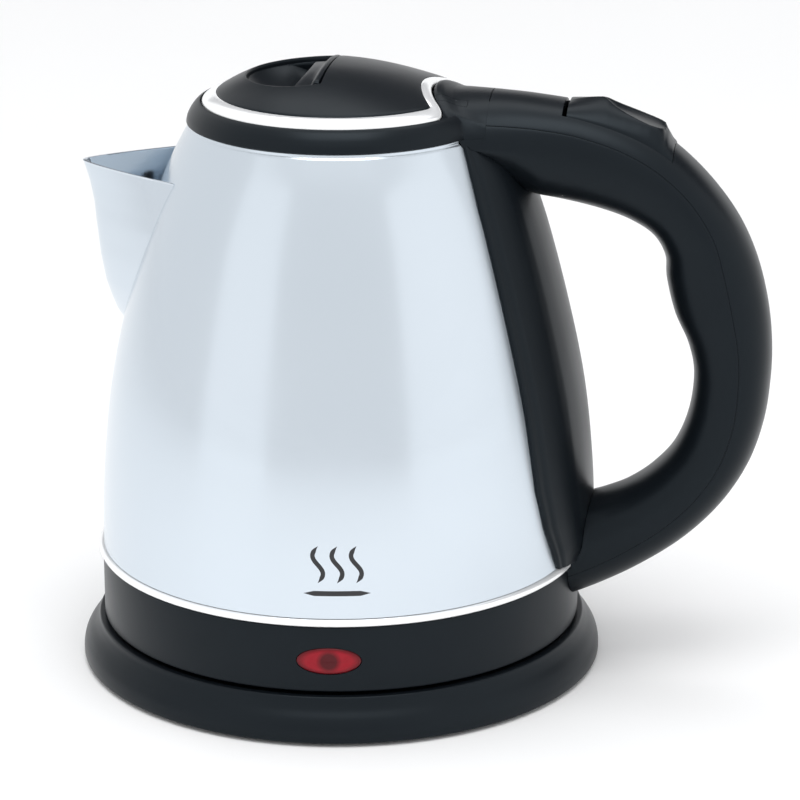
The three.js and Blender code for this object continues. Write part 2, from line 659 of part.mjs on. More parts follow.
function scoopSolid(grow, backX) {
  const ball = new THREE.SphereGeometry(1, 16, 10).rotateX(Math.PI / 2);
  ball.scale(SCOOP.rx + grow, SCOOP.ry + grow, SCOOP.rz + grow).translate(SCOOP.x, 0, SCOOP.z);
  return solid(ball).intersect(box([-60, backX], [-40, 40], [160, 190]));
}

function lidPanel() {
  const outside = domeSolid(PANEL_R, 0, 173.4);
  const hollow = domeSolid(PANEL_R - 2, 2.2, 170);
  const bowl = scoopSolid(1.4, SCOOP_BACK_X + 1.5).intersect(domeSolid(PANEL_R, 0, 160));
  const slotHalf = FLAP_HALF_WIDTH + 0.4;
  const flapSlot = box([SCOOP_BACK_X, LEVER_PIVOT[0] + 1.6], [-slotHalf, slotHalf], [178.2, 195]);
  return outside.subtract(hollow).add(bowl).subtract(scoopSolid(0, SCOOP_BACK_X)).subtract(flapSlot)
    .subtract(bossClearance(TRIM_WIDTH + GAP));
}

// A band that follows the circle and the notch; it rises with the dome towards the hinge.
function lidTrimRing() {
  const crown = domeSolid(RING_R, 0, RING_Z - 1.1);
  const skirt = turned([
    [0, 165], [RING_R, 165], [RING_R, RING_Z], [38.4, 175.6], [PANEL_R - 1, 177.2],
    [PANEL_R - 2, 182], [0, 182],
  ]);
  const body = crown.intersect(skirt).subtract(bossClearance(0));
  const inside = post(0, 0, [160, 195], PANEL_R + GAP, ROUND);
  return body.subtract(inside.subtract(bossClearance(TRIM_WIDTH)));
}

// Two knuckles that fill the slots in the hinge boss flush when the lid is shut.
function lidArms() {
  const outline = [
    [21, 165], [27.5, 165], [31.5, 168.6], [36.5, 172.6], [38.8, 173.8], [39.6, 175.8], [38.8, 177.4],
    [36.5, 177.9], [35.5, 178.1], [33.4, 179.2], [31.2, 179.8], [31, 179.2], [31, 172.6], [30.7, 172.4],
    [27, 171.4], [21, 171.4],
  ];
  return [-ARM_Y, ARM_Y].map((y) => plate(outline, [y - ARM_WIDTH / 2, y + ARM_WIDTH / 2])
    .subtract(crossBar(PIN[0], PIN[1], [-20, 20], 1.35, 12)));
}

function lidInnerCover() {
  const cup = turned([
    [0, 163.6], [36.8, 163.6], [36.8, 164.5], [35.8, 164.5], [35.8, 167], [37.4, 167], [37.4, 171.8],
    [34.6, 171.8],
    [34.6, 165.6], [0, 165.6],
  ]);
  const swing = crossBar(PIN[0], PIN[1], [-25, 25], 9.2, 32);
  const latchGate = box([-40, -30], [-10, 10], [168.1, 180]);
  const springStop = box([-23.6, -21.4], [5.8, 10.6], [164.6, 171]);
  const ventHole = post(20, 0, [160, 168], 2, 10);
  const base = cup.subtract(swing).subtract(latchGate).subtract(ventHole).add(springStop);
  return lidArms().reduce((rest, arm) => rest.add(arm), base);
}

// The finger flap follows the dome; its arm reaches down to the bar that locks the lid.
function latchLever() {
  const flap = plate([
    [-9.2, 180.4], [-9.2, 181.5], [-6.4, 183.4], [-3.6, 184.9], [-2.4, 184.7], [-1.8, 183.6], [-1.9, 182.2],
    [-3.2, 181.2], [-6, 181.2],
  ], [-FLAP_HALF_WIDTH, FLAP_HALF_WIDTH]);
  const arm = plate([[-6.2, 169], [-4.2, 169], [-3.4, 182], [-5.4, 182]], [-3, 3]);
  const shaped = flap.intersect(domeSolid(PANEL_R, -0.2, 160));
  return shaped.add(arm).subtract(crossBar(LEVER_PIVOT[0], LEVER_PIVOT[1], [-25, 25], 0.7, 8));
}

function latchSlider() {
  const bar = box([-36, -1.6], [-5, 5], [168.6, 170.4]);
  const head = box([-37.2, -33], [-9.4, 9.4], [168.6, 170.4]);
  const window = box([-8.2, -3.7], [-3.5, 3.5], [160, 175]);
  return bar.add(head).subtract(window);
}

function latchSpring() {
  const turns = 4;
  const steps = 8 * turns;
  const points = Array.from({ length: steps + 1 }, (_, i) => {
    const turn = (i / 8) * 2 * Math.PI;
    return [-32.3 + (8 * i) / steps, 8.2 + 1.4 * Math.cos(turn), 168.2 + 1.4 * Math.sin(turn)];
  });
  return tube(points, 0.3, steps, 4);
}

const lid = grouped(
  named("lid_panel", lidPanel(), BLACK),
  named("lid_trim_ring", lidTrimRing(), CHROME),
  named("lid_inner_cover", lidInnerCover(), BLACK),
  named("lid_seal", washer(36.1, 38.1, [164.8, 166.7], ROUND), SILICONE),
  named("latch_lever_pin", crossBar(LEVER_PIVOT[0], LEVER_PIVOT[1], [-16.8, 16.8], 0.4, 8), ZINC),
  named("latch_spring", latchSpring(), ZINC),
);
const latch = grouped(
  named("latch_lever", latchLever(), BLACK),
  named("latch_slider", latchSlider(), BLACK),
);

// ---------------------------------------------------------------- assembly

const kettle = grouped(kettleBottom, kettleShells, rocker, lever, lid, latch);
const group = grouped(powerBase, socketRing, kettle);

export default group;
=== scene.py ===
import json
import math

import bmesh
import bpy
import numpy as np
from mathutils import Matrix, Vector


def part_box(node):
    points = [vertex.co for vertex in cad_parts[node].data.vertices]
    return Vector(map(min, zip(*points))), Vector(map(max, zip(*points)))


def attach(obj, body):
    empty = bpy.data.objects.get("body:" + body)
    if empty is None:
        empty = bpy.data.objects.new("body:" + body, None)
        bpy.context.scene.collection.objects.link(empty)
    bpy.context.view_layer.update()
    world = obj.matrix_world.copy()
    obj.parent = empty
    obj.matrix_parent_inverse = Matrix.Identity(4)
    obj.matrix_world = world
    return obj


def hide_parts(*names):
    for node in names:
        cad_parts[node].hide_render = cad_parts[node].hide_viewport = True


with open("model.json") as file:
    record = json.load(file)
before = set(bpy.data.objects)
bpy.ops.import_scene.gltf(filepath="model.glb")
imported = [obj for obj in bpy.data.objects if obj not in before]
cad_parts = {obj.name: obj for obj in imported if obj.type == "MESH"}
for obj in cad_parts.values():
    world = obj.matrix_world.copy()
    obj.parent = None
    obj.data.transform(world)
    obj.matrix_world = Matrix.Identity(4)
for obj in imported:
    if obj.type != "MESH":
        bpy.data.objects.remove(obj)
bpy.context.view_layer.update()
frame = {"nodes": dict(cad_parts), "record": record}

# Lengths below are millimetres on the kettle's own axes: handle along +X, spout along -X, +Z up.
MM = 0.001
ROUND = 160              # steps round a large turned piece

BODY_OUTLINE = [
    (73.1, 37.3), (72.1, 61.9), (69.2, 87.7), (63.7, 113.5), (56.6, 139.4), (50.6, 154.8), (44.0, 167.5),
]
BODY_TOP = (42.4, 170.6)
STEEL = 0.7              # its thickness
GROOVE_Z = 166.35
COVER_R = 73.3
COLLAR_OUTLINE = [(45.2, 167.4), (44.75, 169.3), (43.5, 171.6), (42.0, 173.2), (40.95, 173.9)]
RING_R = 40.5
RING_Z = 174.0
PANEL_R = 36.0
PANEL_Z = 176.3
DOME_RISE = 8.2
DOME_POWER = 2.2
DOME_TILT = 0.3
NOTCH_X = 62.0
NOTCH_R = 33.8
TRIM_WIDTH = 4.3
LID_GAP = 0.35           # between the lid's edge and the hinge boss
PIN = (36.5, 176.0)      # the lid's hinge pin, x and z
PIN_R = 0.55
ARM_YS = (-11, 11)       # the lid's two arms
HANDLE_FRONT_X = 46.2
LEVER_PIVOT = (-3.0, 183.0)
SPRING_CUT = 3.6         # how much shorter than at rest the latch spring is drawn
LENS_ANGLE = math.radians(-83)
LENS_Z = 24.2
LENS_SIZE = (18.9, 8.1)
MARK_ANGLE = math.radians(-81)
MARK_Z = 51.6
CORD_Z = 5.6
SCREW_ANGLES = (30, 150, 270)


# ---------------- curves and outlines

def with_ends(points):
    """The points with one more at each end, straight on from the last two."""
    p = np.array(points, float)
    return np.vstack([2 * p[0] - p[1], p, 2 * p[-1] - p[-2]])


def between(a, b, c, d, t):
    """The point at t from b to c, on a smooth curve through all four."""
    return 0.5 * (2 * b + (c - a) * t + (2 * a - 5 * b + 4 * c - d) * t ** 2
                  + (3 * b - a - 3 * c + d) * t ** 3)


def spline(points, count):
    """Points evenly along a smooth curve through the given ones."""
    p = with_ends(points)
    dense = []
    for a, b, c, d in zip(p, p[1:], p[2:], p[3:]):
        dense += [between(a, b, c, d, t) for t in np.linspace(0, 1, 40, endpoint=False)]
    dense.append(p[-2])
    return resample(dense, count)


def resample(points, count):
    """Points evenly along the straight lines between the given ones."""
    p = np.array(points, float)
    run = np.concatenate([[0], np.cumsum(np.linalg.norm(np.diff(p, axis=0), axis=1))])
    at = np.linspace(0, run[-1], count)
    return np.stack([np.interp(at, run, p[:, k]) for k in range(p.shape[1])], axis=1)


def along(table, t):
    """The value at t from (t, value) pairs, straight between them."""
    keys, values = zip(*table)
    return np.interp(t, keys, values)


def rounded(points):
    """A closed outline with its corners, given as (u, v, radius), made into short curves."""
    result = []
    count = len(points)
    for i, (u, v, radius) in enumerate(points):
        here = np.array([u, v], float)
        if radius <= 0:
            result.append(tuple(here))
            continue
        before = np.array(points[i - 1][:2], float)
        after = np.array(points[(i + 1) % count][:2], float)
        to_before = before - here
        to_after = after - here
        reach = min(radius, 0.48 * np.linalg.norm(to_before), 0.48 * np.linalg.norm(to_after))
        start = here + reach * to_before / np.linalg.norm(to_before)
        end = here + reach * to_after / np.linalg.norm(to_after)
        for t in np.linspace(0, 1, 5):
            result.append(tuple((1 - t) ** 2 * start + 2 * t * (1 - t) * here + t ** 2 * end))
    return result


def polar(radius, degrees):
    turn = math.radians(degrees)
    return radius * math.cos(turn), radius * math.sin(turn)


BODY_CURVE = spline(BODY_OUTLINE, 60)
BODY_TABLE = [(z, r) for r, z in BODY_CURVE] + [(BODY_TOP[1], BODY_TOP[0])]


def body_radius(z):
    return along(BODY_TABLE, z)


def dome_height(x, y):
    """Height of the lid's outer surface, dome and trim ring in one."""
    r = np.hypot(x, y)
    part = np.minimum(r / PANEL_R, 1)
    dome = PANEL_Z + DOME_RISE * (1 - part ** DOME_POWER) * (1 - DOME_TILT * x / PANEL_R)
    fall = (PANEL_Z - RING_Z) / (RING_R - PANEL_R)
    return dome - fall * np.maximum(r - PANEL_R, 0)


# ---------------- mesh helpers

def piece(name, points, faces, material, body, sharp=32):
    """A closed mesh from millimetre points, facing out, smooth except at sharp edges."""
    mesh = bpy.data.meshes.new(name)
    mesh.from_pydata([tuple(float(v) * MM for v in p) for p in points], [], faces)
    work = bmesh.new()
    work.from_mesh(mesh)
    bmesh.ops.remove_doubles(work, verts=work.verts, dist=1e-7)
    bmesh.ops.dissolve_degenerate(work, edges=work.edges, dist=1e-7)
    bmesh.ops.recalc_face_normals(work, faces=work.faces)
    work.to_mesh(mesh)
    work.free()
    obj = add_object(name, mesh)
    dress(obj, material, sharp)
    if body:
        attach(obj, body)
    return obj


def add_object(name, data):
    obj = bpy.data.objects.new(name, data)
    bpy.context.collection.objects.link(obj)
    return obj


def dress(obj, material, sharp):
    mesh = obj.data
    mesh.polygons.foreach_set("use_smooth", [True] * len(mesh.polygons))
    mesh.set_sharp_from_angle(angle=math.radians(sharp))
    mesh.materials.clear()
    mesh.materials.append(material)


def grid_faces(rows, columns, start=0, wrap_rows=False, wrap_columns=False):
    faces = []
    for i in range(rows if wrap_rows else rows - 1):
        for j in range(columns if wrap_columns else columns - 1):
            a, b = i * columns + j, i * columns + (j + 1) % columns
            c, d = ((i + 1) % rows) * columns + (j + 1) % columns, ((i + 1) % rows) * columns + j
            faces.append((start + a, start + b, start + c, start + d))
    return faces


def turned(name, outline, material, body, steps=ROUND, sharp=32, place=lambda u, v, z: (u, v, z)):
    """A closed outline of (radius, height, corner) turned about the kettle's axis, or about place's."""
    line = rounded([p if len(p) == 3 else (*p, 0) for p in outline])
    points = []
    for i in range(steps):
        a = 2 * math.pi * i / steps
        points += [place(r * math.cos(a), r * math.sin(a), z) for r, z in line]
    faces = grid_faces(steps, len(line), wrap_rows=True, wrap_columns=True)
    return piece(name, points, faces, material, body, sharp)


def sheet(name, outer, inner, material, body, sharp=32):
    """A wall between two equal grids of points, closed round its edges."""
    rows, columns = len(outer), len(outer[0])
    points = [p for row in outer for p in row] + [p for row in inner for p in row]
    layer = rows * columns
    faces = grid_faces(rows, columns)
    faces += [tuple(reversed(f)) for f in grid_faces(rows, columns, layer)]
    rim = [j for j in range(columns)]
    rim += [i * columns + columns - 1 for i in range(1, rows)]
    rim += [(rows - 1) * columns + j for j in range(columns - 2, -1, -1)]
    rim += [i * columns for i in range(rows - 2, 0, -1)]
    for a, b in zip(rim, rim[1:] + rim[:1]):
        faces.append((b, a, a + layer, b + layer))
    return piece(name, points, faces, material, body, sharp)


def rings(name, loops, material, body, sharp=32, caps=True):
    """A closed skin through closed loops of points, with its first and last loops filled."""
    columns = len(loops[0])
    points = [p for loop in loops for p in loop]
    faces = grid_faces(len(loops), columns, wrap_columns=True)
    if caps:
        faces.append(tuple(range(columns)))
        faces.append(tuple(reversed(range((len(loops) - 1) * columns, len(loops) * columns))))
    return piece(name, points, faces, material, body, sharp)


def slab(name, outline, y, edge, material, body, sharp=32):
    """A plate from an outline of x and z between two y values, with rounded edges."""
    loops = []
    flat = np.array(outline, float)
    normal = outline_normals(flat)
    for side, order in ((0, (0, 1, 2)), (1, (2, 1, 0))):
        for k in order:
            turn = k * math.pi / 4
            inset = edge * (1 - math.sin(turn))
            depth = edge * (1 - math.cos(turn))
            at_y = y[0] + depth if side == 0 else y[1] - depth
            loops.append([(u, at_y, v) for u, v in flat - normal * inset])
    return rings(name, loops, material, body, sharp)


def outline_normals(flat):
    """Outward normals of a closed outline, whichever way it runs."""
    before = np.roll(flat, 1, axis=0)
    after = np.roll(flat, -1, axis=0)
    run = after - before
    normal = np.stack([run[:, 1], -run[:, 0]], axis=1)
    normal /= np.maximum(np.linalg.norm(normal, axis=1, keepdims=True), 1e-9)
    area = np.sum(flat[:, 0] * after[:, 1] - after[:, 0] * flat[:, 1])
    return normal if area > 0 else -normal


def cut(obj, *cutters, how="DIFFERENCE", sharp=32):
    """Cuts a piece with others, joins them to it or keeps what they share, and removes them."""
    for cutter in cutters:
        step = obj.modifiers.new("cut", "BOOLEAN")
        step.operation = how
        step.solver = "EXACT"
        step.object = cutter
    bpy.context.view_layer.update()
    graph = bpy.context.evaluated_depsgraph_get()
    mesh = bpy.data.meshes.new_from_object(obj.evaluated_get(graph))
    obj.modifiers.clear()
    material = obj.data.materials[0]
    obj.data = mesh
    dress(obj, material, sharp)
    for cutter in cutters:
        bpy.data.objects.remove(cutter, do_unlink=True)
    return obj


def bar(start, end, radius, steps=32, name="cutter", material=None, body=None):
    """A round bar between two points, to cut with or to keep."""
    a, b = Vector(start), Vector(end)
    turn = (b - a).to_track_quat("Z", "Y").to_matrix()
    circle = [Vector((*polar(radius, 360 * i / steps), 0)) for i in range(steps)]
    loops = [[tuple(at + turn @ p) for p in circle] for at in (a, b)]
    return rings(name, loops, material or SPARE, body)


def block(x, y, z):
    """A box to cut with, from two x, two y and two z."""
    loops = [[(u, v, h) for u, v in ((x[0], y[0]), (x[1], y[0]), (x[1], y[1]), (x[0], y[1]))] for h in z]
    return rings("cutter", loops, SPARE, None)


# ---------------- materials

class Nodes:
    """Short way to build one material's node tree."""

    def __init__(self, name):
        self.material = bpy.data.materials.new(name)
        self.material.use_nodes = True
        self.tree = self.material.node_tree
        self.shader = self.tree.nodes["Principled BSDF"]
        self.place = self.tree.nodes.new("ShaderNodeTexCoord").outputs["Object"]

    def add(self, kind, **inputs):
        node = self.tree.nodes.new(kind)
        for key, value in inputs.items():
            socket = node.inputs[key.replace("_", " ")]
            if isinstance(value, bpy.types.NodeSocket):
                self.tree.links.new(value, socket)
            else:
                socket.default_value = value
        return node

    def stretched(self, x, y, z):
        return self.add("ShaderNodeMapping", Vector=self.place, Scale=(x, y, z)).outputs["Vector"]

    def noise(self, scale, detail=3.0, vector=None):
        node = self.add("ShaderNodeTexNoise", Vector=vector or self.place, Scale=scale, Detail=detail)
        return node.outputs["Fac"]

    def ramp(self, value, low, high, start=0.3, end=0.7):
        node = self.add("ShaderNodeMapRange", Value=value, From_Min=start, From_Max=end,
                        To_Min=low, To_Max=high)
        return node.outputs["Result"]

    def colours(self, value, low, high):
        node = self.tree.nodes.new("ShaderNodeMix")
        node.data_type = "RGBA"
        node.inputs[6].default_value = (*low, 1)
        node.inputs[7].default_value = (*high, 1)
        self.tree.links.new(value, node.inputs[0])
        return node.outputs[2]

    def distance(self, vector, centre):
        node = self.tree.nodes.new("ShaderNodeVectorMath")
        node.operation = "DISTANCE"
        node.inputs[1].default_value = centre
        self.tree.links.new(vector, node.inputs[0])
        return node.outputs["Value"]

    def product(self, one, other):
        node = self.tree.nodes.new("ShaderNodeMath")
        node.operation = "MULTIPLY"
        self.tree.links.new(one, node.inputs[0])
        self.tree.links.new(other, node.inputs[1])
        return node.outputs["Value"]

    def link(self, value, name):
        self.tree.links.new(value, self.shader.inputs[name])

    def bump(self, height, strength, distance, below=None):
        node = self.add("ShaderNodeBump", Height=height, Strength=strength, Distance=distance)
        if below is not None:
            self.tree.links.new(below, node.inputs["Normal"])
        return node.outputs["Normal"]

    def fixed(self, **values):
        for key, value in values.items():
            self.shader.inputs[key.replace("_", " ")].default_value = value

    def varied(self, colour, rough, bump=None):
        """Colour, roughness and a bump, each from a noise: its scale and detail, then two settings."""
        self.link(self.colours(self.noise(*colour[:2]), *colour[2:]), "Base Color")
        self.link(self.ramp(self.noise(*rough[:2]), *rough[2:]), "Roughness")
        if bump:
            self.link(self.bump(self.noise(*bump[:2]), *bump[2:]), "Normal")
        return self.material


def black_moulding():
    m = Nodes("black_moulding")
    m.fixed(Specular_IOR_Level=0.20, Specular_Tint=(0.76, 0.90, 1.0, 1))
    m.varied((60, 2, (0.0036, 0.0050, 0.0068), (0.0050, 0.0068, 0.0090)), (35, 3, 0.30, 0.36))
    grain = m.bump(m.noise(5200, 2), 0.10, 0.00004)
    m.link(m.bump(m.noise(90, 2), 0.06, 0.0004, grain), "Normal")
    return m.material


def polished_steel():
    m = Nodes("polished_steel")
    m.fixed(Metallic=1.0, Specular_IOR_Level=0.5)
    m.varied((18, 3, (0.625, 0.690, 0.750), (0.655, 0.715, 0.775)), (40, 4, 0.17, 0.21))
    lines = m.noise(1.0, 4, m.stretched(60, 60, 9000))
    m.link(m.bump(lines, 0.05, 0.00002), "Normal")
    return m.material


def bright_trim():
    m = Nodes("bright_trim")
    m.fixed(Metallic=0.5)
    return m.varied((50, 2, (0.93, 0.94, 0.95), (0.96, 0.965, 0.97)), (120, 3, 0.14, 0.20),
                    (700, 2, 0.04, 0.00003))


def plain_metal(name, low, high, rough):
    m = Nodes(name)
    m.fixed(Metallic=1.0)
    return m.varied((120, 4, low, high), (300, 3, rough * 0.8, rough * 1.25), (2500, 3, 0.12, 0.00003))


def soft_plastic(name, low, high, rough):
    return Nodes(name).varied((90, 3, low, high), (200, 3, rough * 0.9, min(1, rough * 1.1)),
                              (3000, 3, 0.2, 0.00005))


def lens_red():
    """Dark red plastic, with the lamp's round shadow in the middle and a darker rim."""
    m = Nodes("lens_red")
    m.fixed(Specular_IOR_Level=0.25)
    x, y = polar(COVER_R * MM, math.degrees(LENS_ANGLE))
    centre = (x, y, LENS_Z * MM)
    lamp = m.ramp(m.distance(m.place, centre), 0, 1, 0.0022, 0.0038)
    scale = (1 / 9.4, 1 / 9.4, 1 / 4.0)
    middle = tuple(c / MM * k for c, k in zip(centre, scale))
    oval = m.distance(m.stretched(*(k / MM for k in scale)), middle)
    rim = m.ramp(oval, 1, 0, 0.72, 1.0)
    mottled = m.ramp(m.noise(300, 2), 0.85, 1.0)
    amount = m.product(m.product(lamp, rim), mottled)
    m.link(m.colours(amount, (0.075, 0.002, 0.005), (0.30, 0.004, 0.014)), "Base Color")
    m.link(m.ramp(m.noise(90, 2), 0.16, 0.24), "Roughness")
    m.link(m.bump(m.noise(500, 2), 0.08, 0.00005), "Normal")
    return m.material


def print_ink():
    return Nodes("print_ink").varied((400, 3, (0.012, 0.012, 0.014), (0.022, 0.022, 0.025)),
                                     (300, 3, 0.4, 0.55), (4000, 2, 0.1, 0.00002))


def pale_floor():
    return Nodes("pale_floor").varied((3, 2, (0.93, 0.93, 0.93), (0.94, 0.94, 0.94)), (8, 3, 0.55, 0.65))


SPARE = bpy.data.materials.new("cutter")
BLACK = black_moulding()
STEEL_SKIN = polished_steel()
CHROME = bright_trim()
RUBBER = soft_plastic("foot_rubber", (0.012, 0.012, 0.012), (0.02, 0.02, 0.02), 0.8)
BRASS = plain_metal("contact_brass", (0.66, 0.48, 0.22), (0.76, 0.58, 0.30), 0.3)
ZINC = plain_metal("zinc_steel", (0.56, 0.57, 0.58), (0.66, 0.67, 0.68), 0.3)
ALUMINIUM = plain_metal("spreader_aluminium", (0.66, 0.67, 0.69), (0.73, 0.74, 0.76), 0.4)
SHEATH = plain_metal("element_steel", (0.20, 0.19, 0.18), (0.34, 0.33, 0.33), 0.45)
WHITE = soft_plastic("white_moulding", (0.74, 0.73, 0.69), (0.80, 0.79, 0.75), 0.45)
LENS = lens_red()
LAMP = soft_plastic("lamp_glass", (0.60, 0.25, 0.12), (0.75, 0.38, 0.20), 0.15)
WIRE = soft_plastic("wire_cover", (0.38, 0.06, 0.03), (0.46, 0.09, 0.05), 0.5)
SEAL = soft_plastic("seal_silicone", (0.62, 0.60, 0.57), (0.70, 0.68, 0.65), 0.4)
INK = print_ink()
SLOT_MATERIALS = {
    "black_moulding": BLACK, "foot_rubber": RUBBER, "polished_steel": STEEL_SKIN, "bright_trim": CHROME,
    "contact_brass": BRASS, "zinc_steel": ZINC, "spreader_aluminium": ALUMINIUM, "element_steel": SHEATH,
    "white_moulding": WHITE, "lens_red": LENS, "lamp_glass": LAMP, "wire_cover": WIRE, "seal_silicone": SEAL,
}


def stand_for(obj, slot, *nodes):
    """The piece takes the place of these CAD nodes, which it hides."""
    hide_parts(*nodes)
    return obj


# ---------------- camera, lights and floor, in metres

def camera():
    """Seen from the front, a little to the handle's side, and from above."""
    swing = math.radians(10)
    yaw, down = 0.0196, 0.3145
    ahead = Vector((math.sin(yaw) * math.cos(down), math.cos(yaw) * math.cos(down), -math.sin(down)))
    ahead.rotate(Matrix.Rotation(swing, 3, "Z"))
    right = ahead.cross(Vector((0, 0, 1))).normalized()
    up = right.cross(ahead)
    data = bpy.data.cameras.new("camera")
    data.lens = 144.05
    data.sensor_width = 36
    data.clip_start = 0.02
    data.clip_end = 20
    eye = add_object("camera", data)
    turn = Matrix((right, up, -ahead)).transposed().to_4x4()
    eye.matrix_world = Matrix.Translation((0.1613, -0.9149, 0.3819)) @ turn
    bpy.context.scene.camera = eye


def softbox(name, place, target, size, glow):
    """A soft light; its glow is its brightness against a white of 1."""
    data = bpy.data.lights.new(name, "AREA")
    data.shape = "RECTANGLE"
    data.size, data.size_y = size
    data.energy = glow * math.pi * size[0] * size[1]
    light = add_object(name, data)
    light.location = place
    aim = Vector(target) - Vector(place)
    light.rotation_euler = aim.to_track_quat("-Z", "Y").to_euler()


def studio():
    world = bpy.data.worlds.new("studio")
    world.use_nodes = True
    sky = world.node_tree.nodes["Background"].inputs
    sky["Color"].default_value = (0.985, 0.99, 1.0, 1)
    sky["Strength"].default_value = 0.95
    bpy.context.scene.world = world
    view = bpy.context.scene.view_settings
    view.view_transform = "Standard"
    view.look = "None"
    for name, azimuth, width, glow in (("left", -131, 0.36, 0.17), ("left_core", -131, 0.18, 0.60),
                                       ("right", -21, 0.62, 0.20), ("right_core", -21, 0.34, 0.60)):
        x, y = polar(0.6, azimuth)
        softbox(name, (x, y, 0.30), (0, 0, 0.30), (width, 0.58), glow)
    softbox("top", (0.05, -0.35, 1.15), (0, 0, 0.1), (0.8, 0.6), 3.2)
    softbox("backdrop", (0.1, 1.3, 2.7), (0.1, 1.301, 0), (2.8, 1.2), 1.6)
    stage_sheet("floor", [(-3, -3, 0), (3, -3, 0), (3, 3, 0), (-3, 3, 0)], pale_floor())
    cloth = soft_plastic("grey_cloth", (0.09, 0.09, 0.10), (0.12, 0.12, 0.13), 0.9)
    stage_sheet("back_cloth", [(-1.6, 2.6, 0.9), (2.8, 1.6, 0.9), (2.8, 1.6, 3.4), (-1.6, 2.6, 3.4)], cloth)


def stage_sheet(name, corners, material):
    mesh = bpy.data.meshes.new(name)
    mesh.from_pydata(corners, [], [(0, 1, 2, 3)])
    mesh.materials.append(material)
    obj = add_object(name, mesh)


# ---------------- power base

def base_skirt():
    skirt = turned("base_skirt", [
        (80, 1.05, 0.6), (80, 3.6, 1.2), (79.5, 5.8, 1), (78.2, 8.0, 1), (76.3, 10.2, 1), (75.2, 12.2, 1),
        (74.9, 13.6, 0.5), (72.6, 13.6, 0.5), (71.7, 11.0, 0.8), (24.2, 11.0, 0.4), (24.2, 9.2), (73.4, 9.2),
        (76.4, 7), (77.7, 4), (77.7, 1.05, 0.4),
    ], BLACK, "power_base", 220)
    notch = 4.55
    arch = bar((0, 74, CORD_Z), (0, 84, CORD_Z), notch)
    slot = block((-notch, notch), (74, 84), (-1, CORD_Z))
    return stand_for(cut(skirt, cut(arch, slot, how="UNION")), "black_moulding", "base_cover")


def base_underside():
    plate = turned("base_underside", [
        (0.01, 1.2), (29.5, 1.2, 0.4), (31.5, 1.8, 0.4), (50, 1.8), (50.4, 2.3), (52, 2.3), (52.4, 1.8),
        (77.2, 1.8, 0.4), (77.2, 3.5), (0.01, 3.5),
    ], BLACK, "power_base")
    holes = [bar((*polar(24, a), -1), (*polar(24, a), 2.9), 3.3) for a in SCREW_ANGLES]
    return stand_for(cut(plate, *holes), "black_moulding", "base_bottom_plate")


def base_feet():
    for i in range(6):
        node = f"base_foot_{i + 1}"
        low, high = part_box(node)
        x, y = (low[0] + high[0]) / 2 / MM, (low[1] + high[1]) / 2 / MM
        foot = turned(f"foot_pad_{i + 1}", [(0.01, 0), (6, 0, 0.5), (6, 1.5, 0.2), (0.01, 1.5)], RUBBER,
                      "power_base", 40, place=lambda u, v, z: (x + u, y + v, z))
        stand_for(foot, "foot_rubber", node)


def base_island():
    island = turned("socket_island", [
        (3.6, 4.2), (28, 4.2), (28, 8.8), (21.5, 8.8), (21.5, 22.0, 0.5), (20.6, 23.0, 0.5),
        (15.0, 23.0, 0.4), (15.0, 9.0), (11.5, 9.0), (11.5, 23.0, 0.4), (3.6, 23.0, 0.6),
    ], BLACK, "power_base", 96)
    stand_for(island, "black_moulding", "base_socket")
    band = turned("earth_band", [
        (21.65, 12, 0.2), (22.3, 12, 0.2), (22.3, 20, 0.2), (21.65, 20, 0.2),
    ], BRASS, "power_base", 96)
    stand_for(band, "contact_brass", "socket_earth_band")
    ring = turned("shutter_ring", [
        (11.8, 12.3, 0.2), (14.7, 12.3, 0.2), (14.7, 14.8, 0.4), (11.8, 14.8, 0.4),
    ], WHITE, "socket_ring", 96)
    stand_for(ring, "white_moulding", "socket_shutter_ring")


def cord_grommet():
    grommet = turned("cord_grommet", [(3.5, 77.7), (4.35, 77.7), (4.35, 80.4, 0.5), (3.5, 80.4, 0.4)],
                     RUBBER, "power_base", 40, place=lambda u, v, y: (u, y, CORD_Z + v))
    stand_for(grommet, "foot_rubber", "cord_entry_grommet")


# ---------------- kettle bottom and body

def lens_outline(grow):
    """The lens's oval, grown by this much on every side."""
    a, b = (side / 2 + grow for side in LENS_SIZE)
    return [(a * math.cos(t), b * math.sin(t)) for t in np.linspace(0, 2 * math.pi, 48, endpoint=False)]


def on_cover(u, v, radius):
    """A point on the bottom cover's side: u along it, v up from the lens centre."""
    a = LENS_ANGLE + u / COVER_R
    return radius * math.cos(a), radius * math.sin(a), LENS_Z + v


def bottom_ring():
    cover = turned("bottom_shell", [
        (COVER_R, 14.6, 0.5), (COVER_R, 34.6, 0.3), (70.9, 34.6), (70.9, 17.4), (25.5, 17.4),
        (25.5, 15.2, 0.3), (60, 15.2), (60, 11.35, 0.4), (63, 11.35, 0.4), (63, 15.2), (70.9, 15.2),
        (71.5, 14.6, 0.3),
    ], BLACK, "kettle", 200)
    loops = [[on_cover(u, v, r) for u, v in lens_outline(0.15)] for r in (68, 76)]
    window = rings("cutter", loops, SPARE, None)
    holes = [bar((*polar(50, a), 13), (*polar(50, a), 19), 1.8) for a in SCREW_ANGLES]
    outlet = bar((66, 0, 28), (78, 0, 28), 5)
    stand_for(cut(cover, window, outlet, *holes), "black_moulding", "bottom_cover")


def indicator_lens():
    """A slightly crowned oval lens with a bevelled rim."""
    loops = []
    for shrink, r in ((0, 70.8), (0, 73.2), (0.25, 73.45), (1.2, 73.6), (2.6, 73.7), (3.9, 73.75)):
        loops.append([on_cover(u, v, r) for u, v in lens_outline(-shrink)])
    stand_for(rings("lens", loops, LENS, "kettle", sharp=50), "lens_red", "indicator_lens")


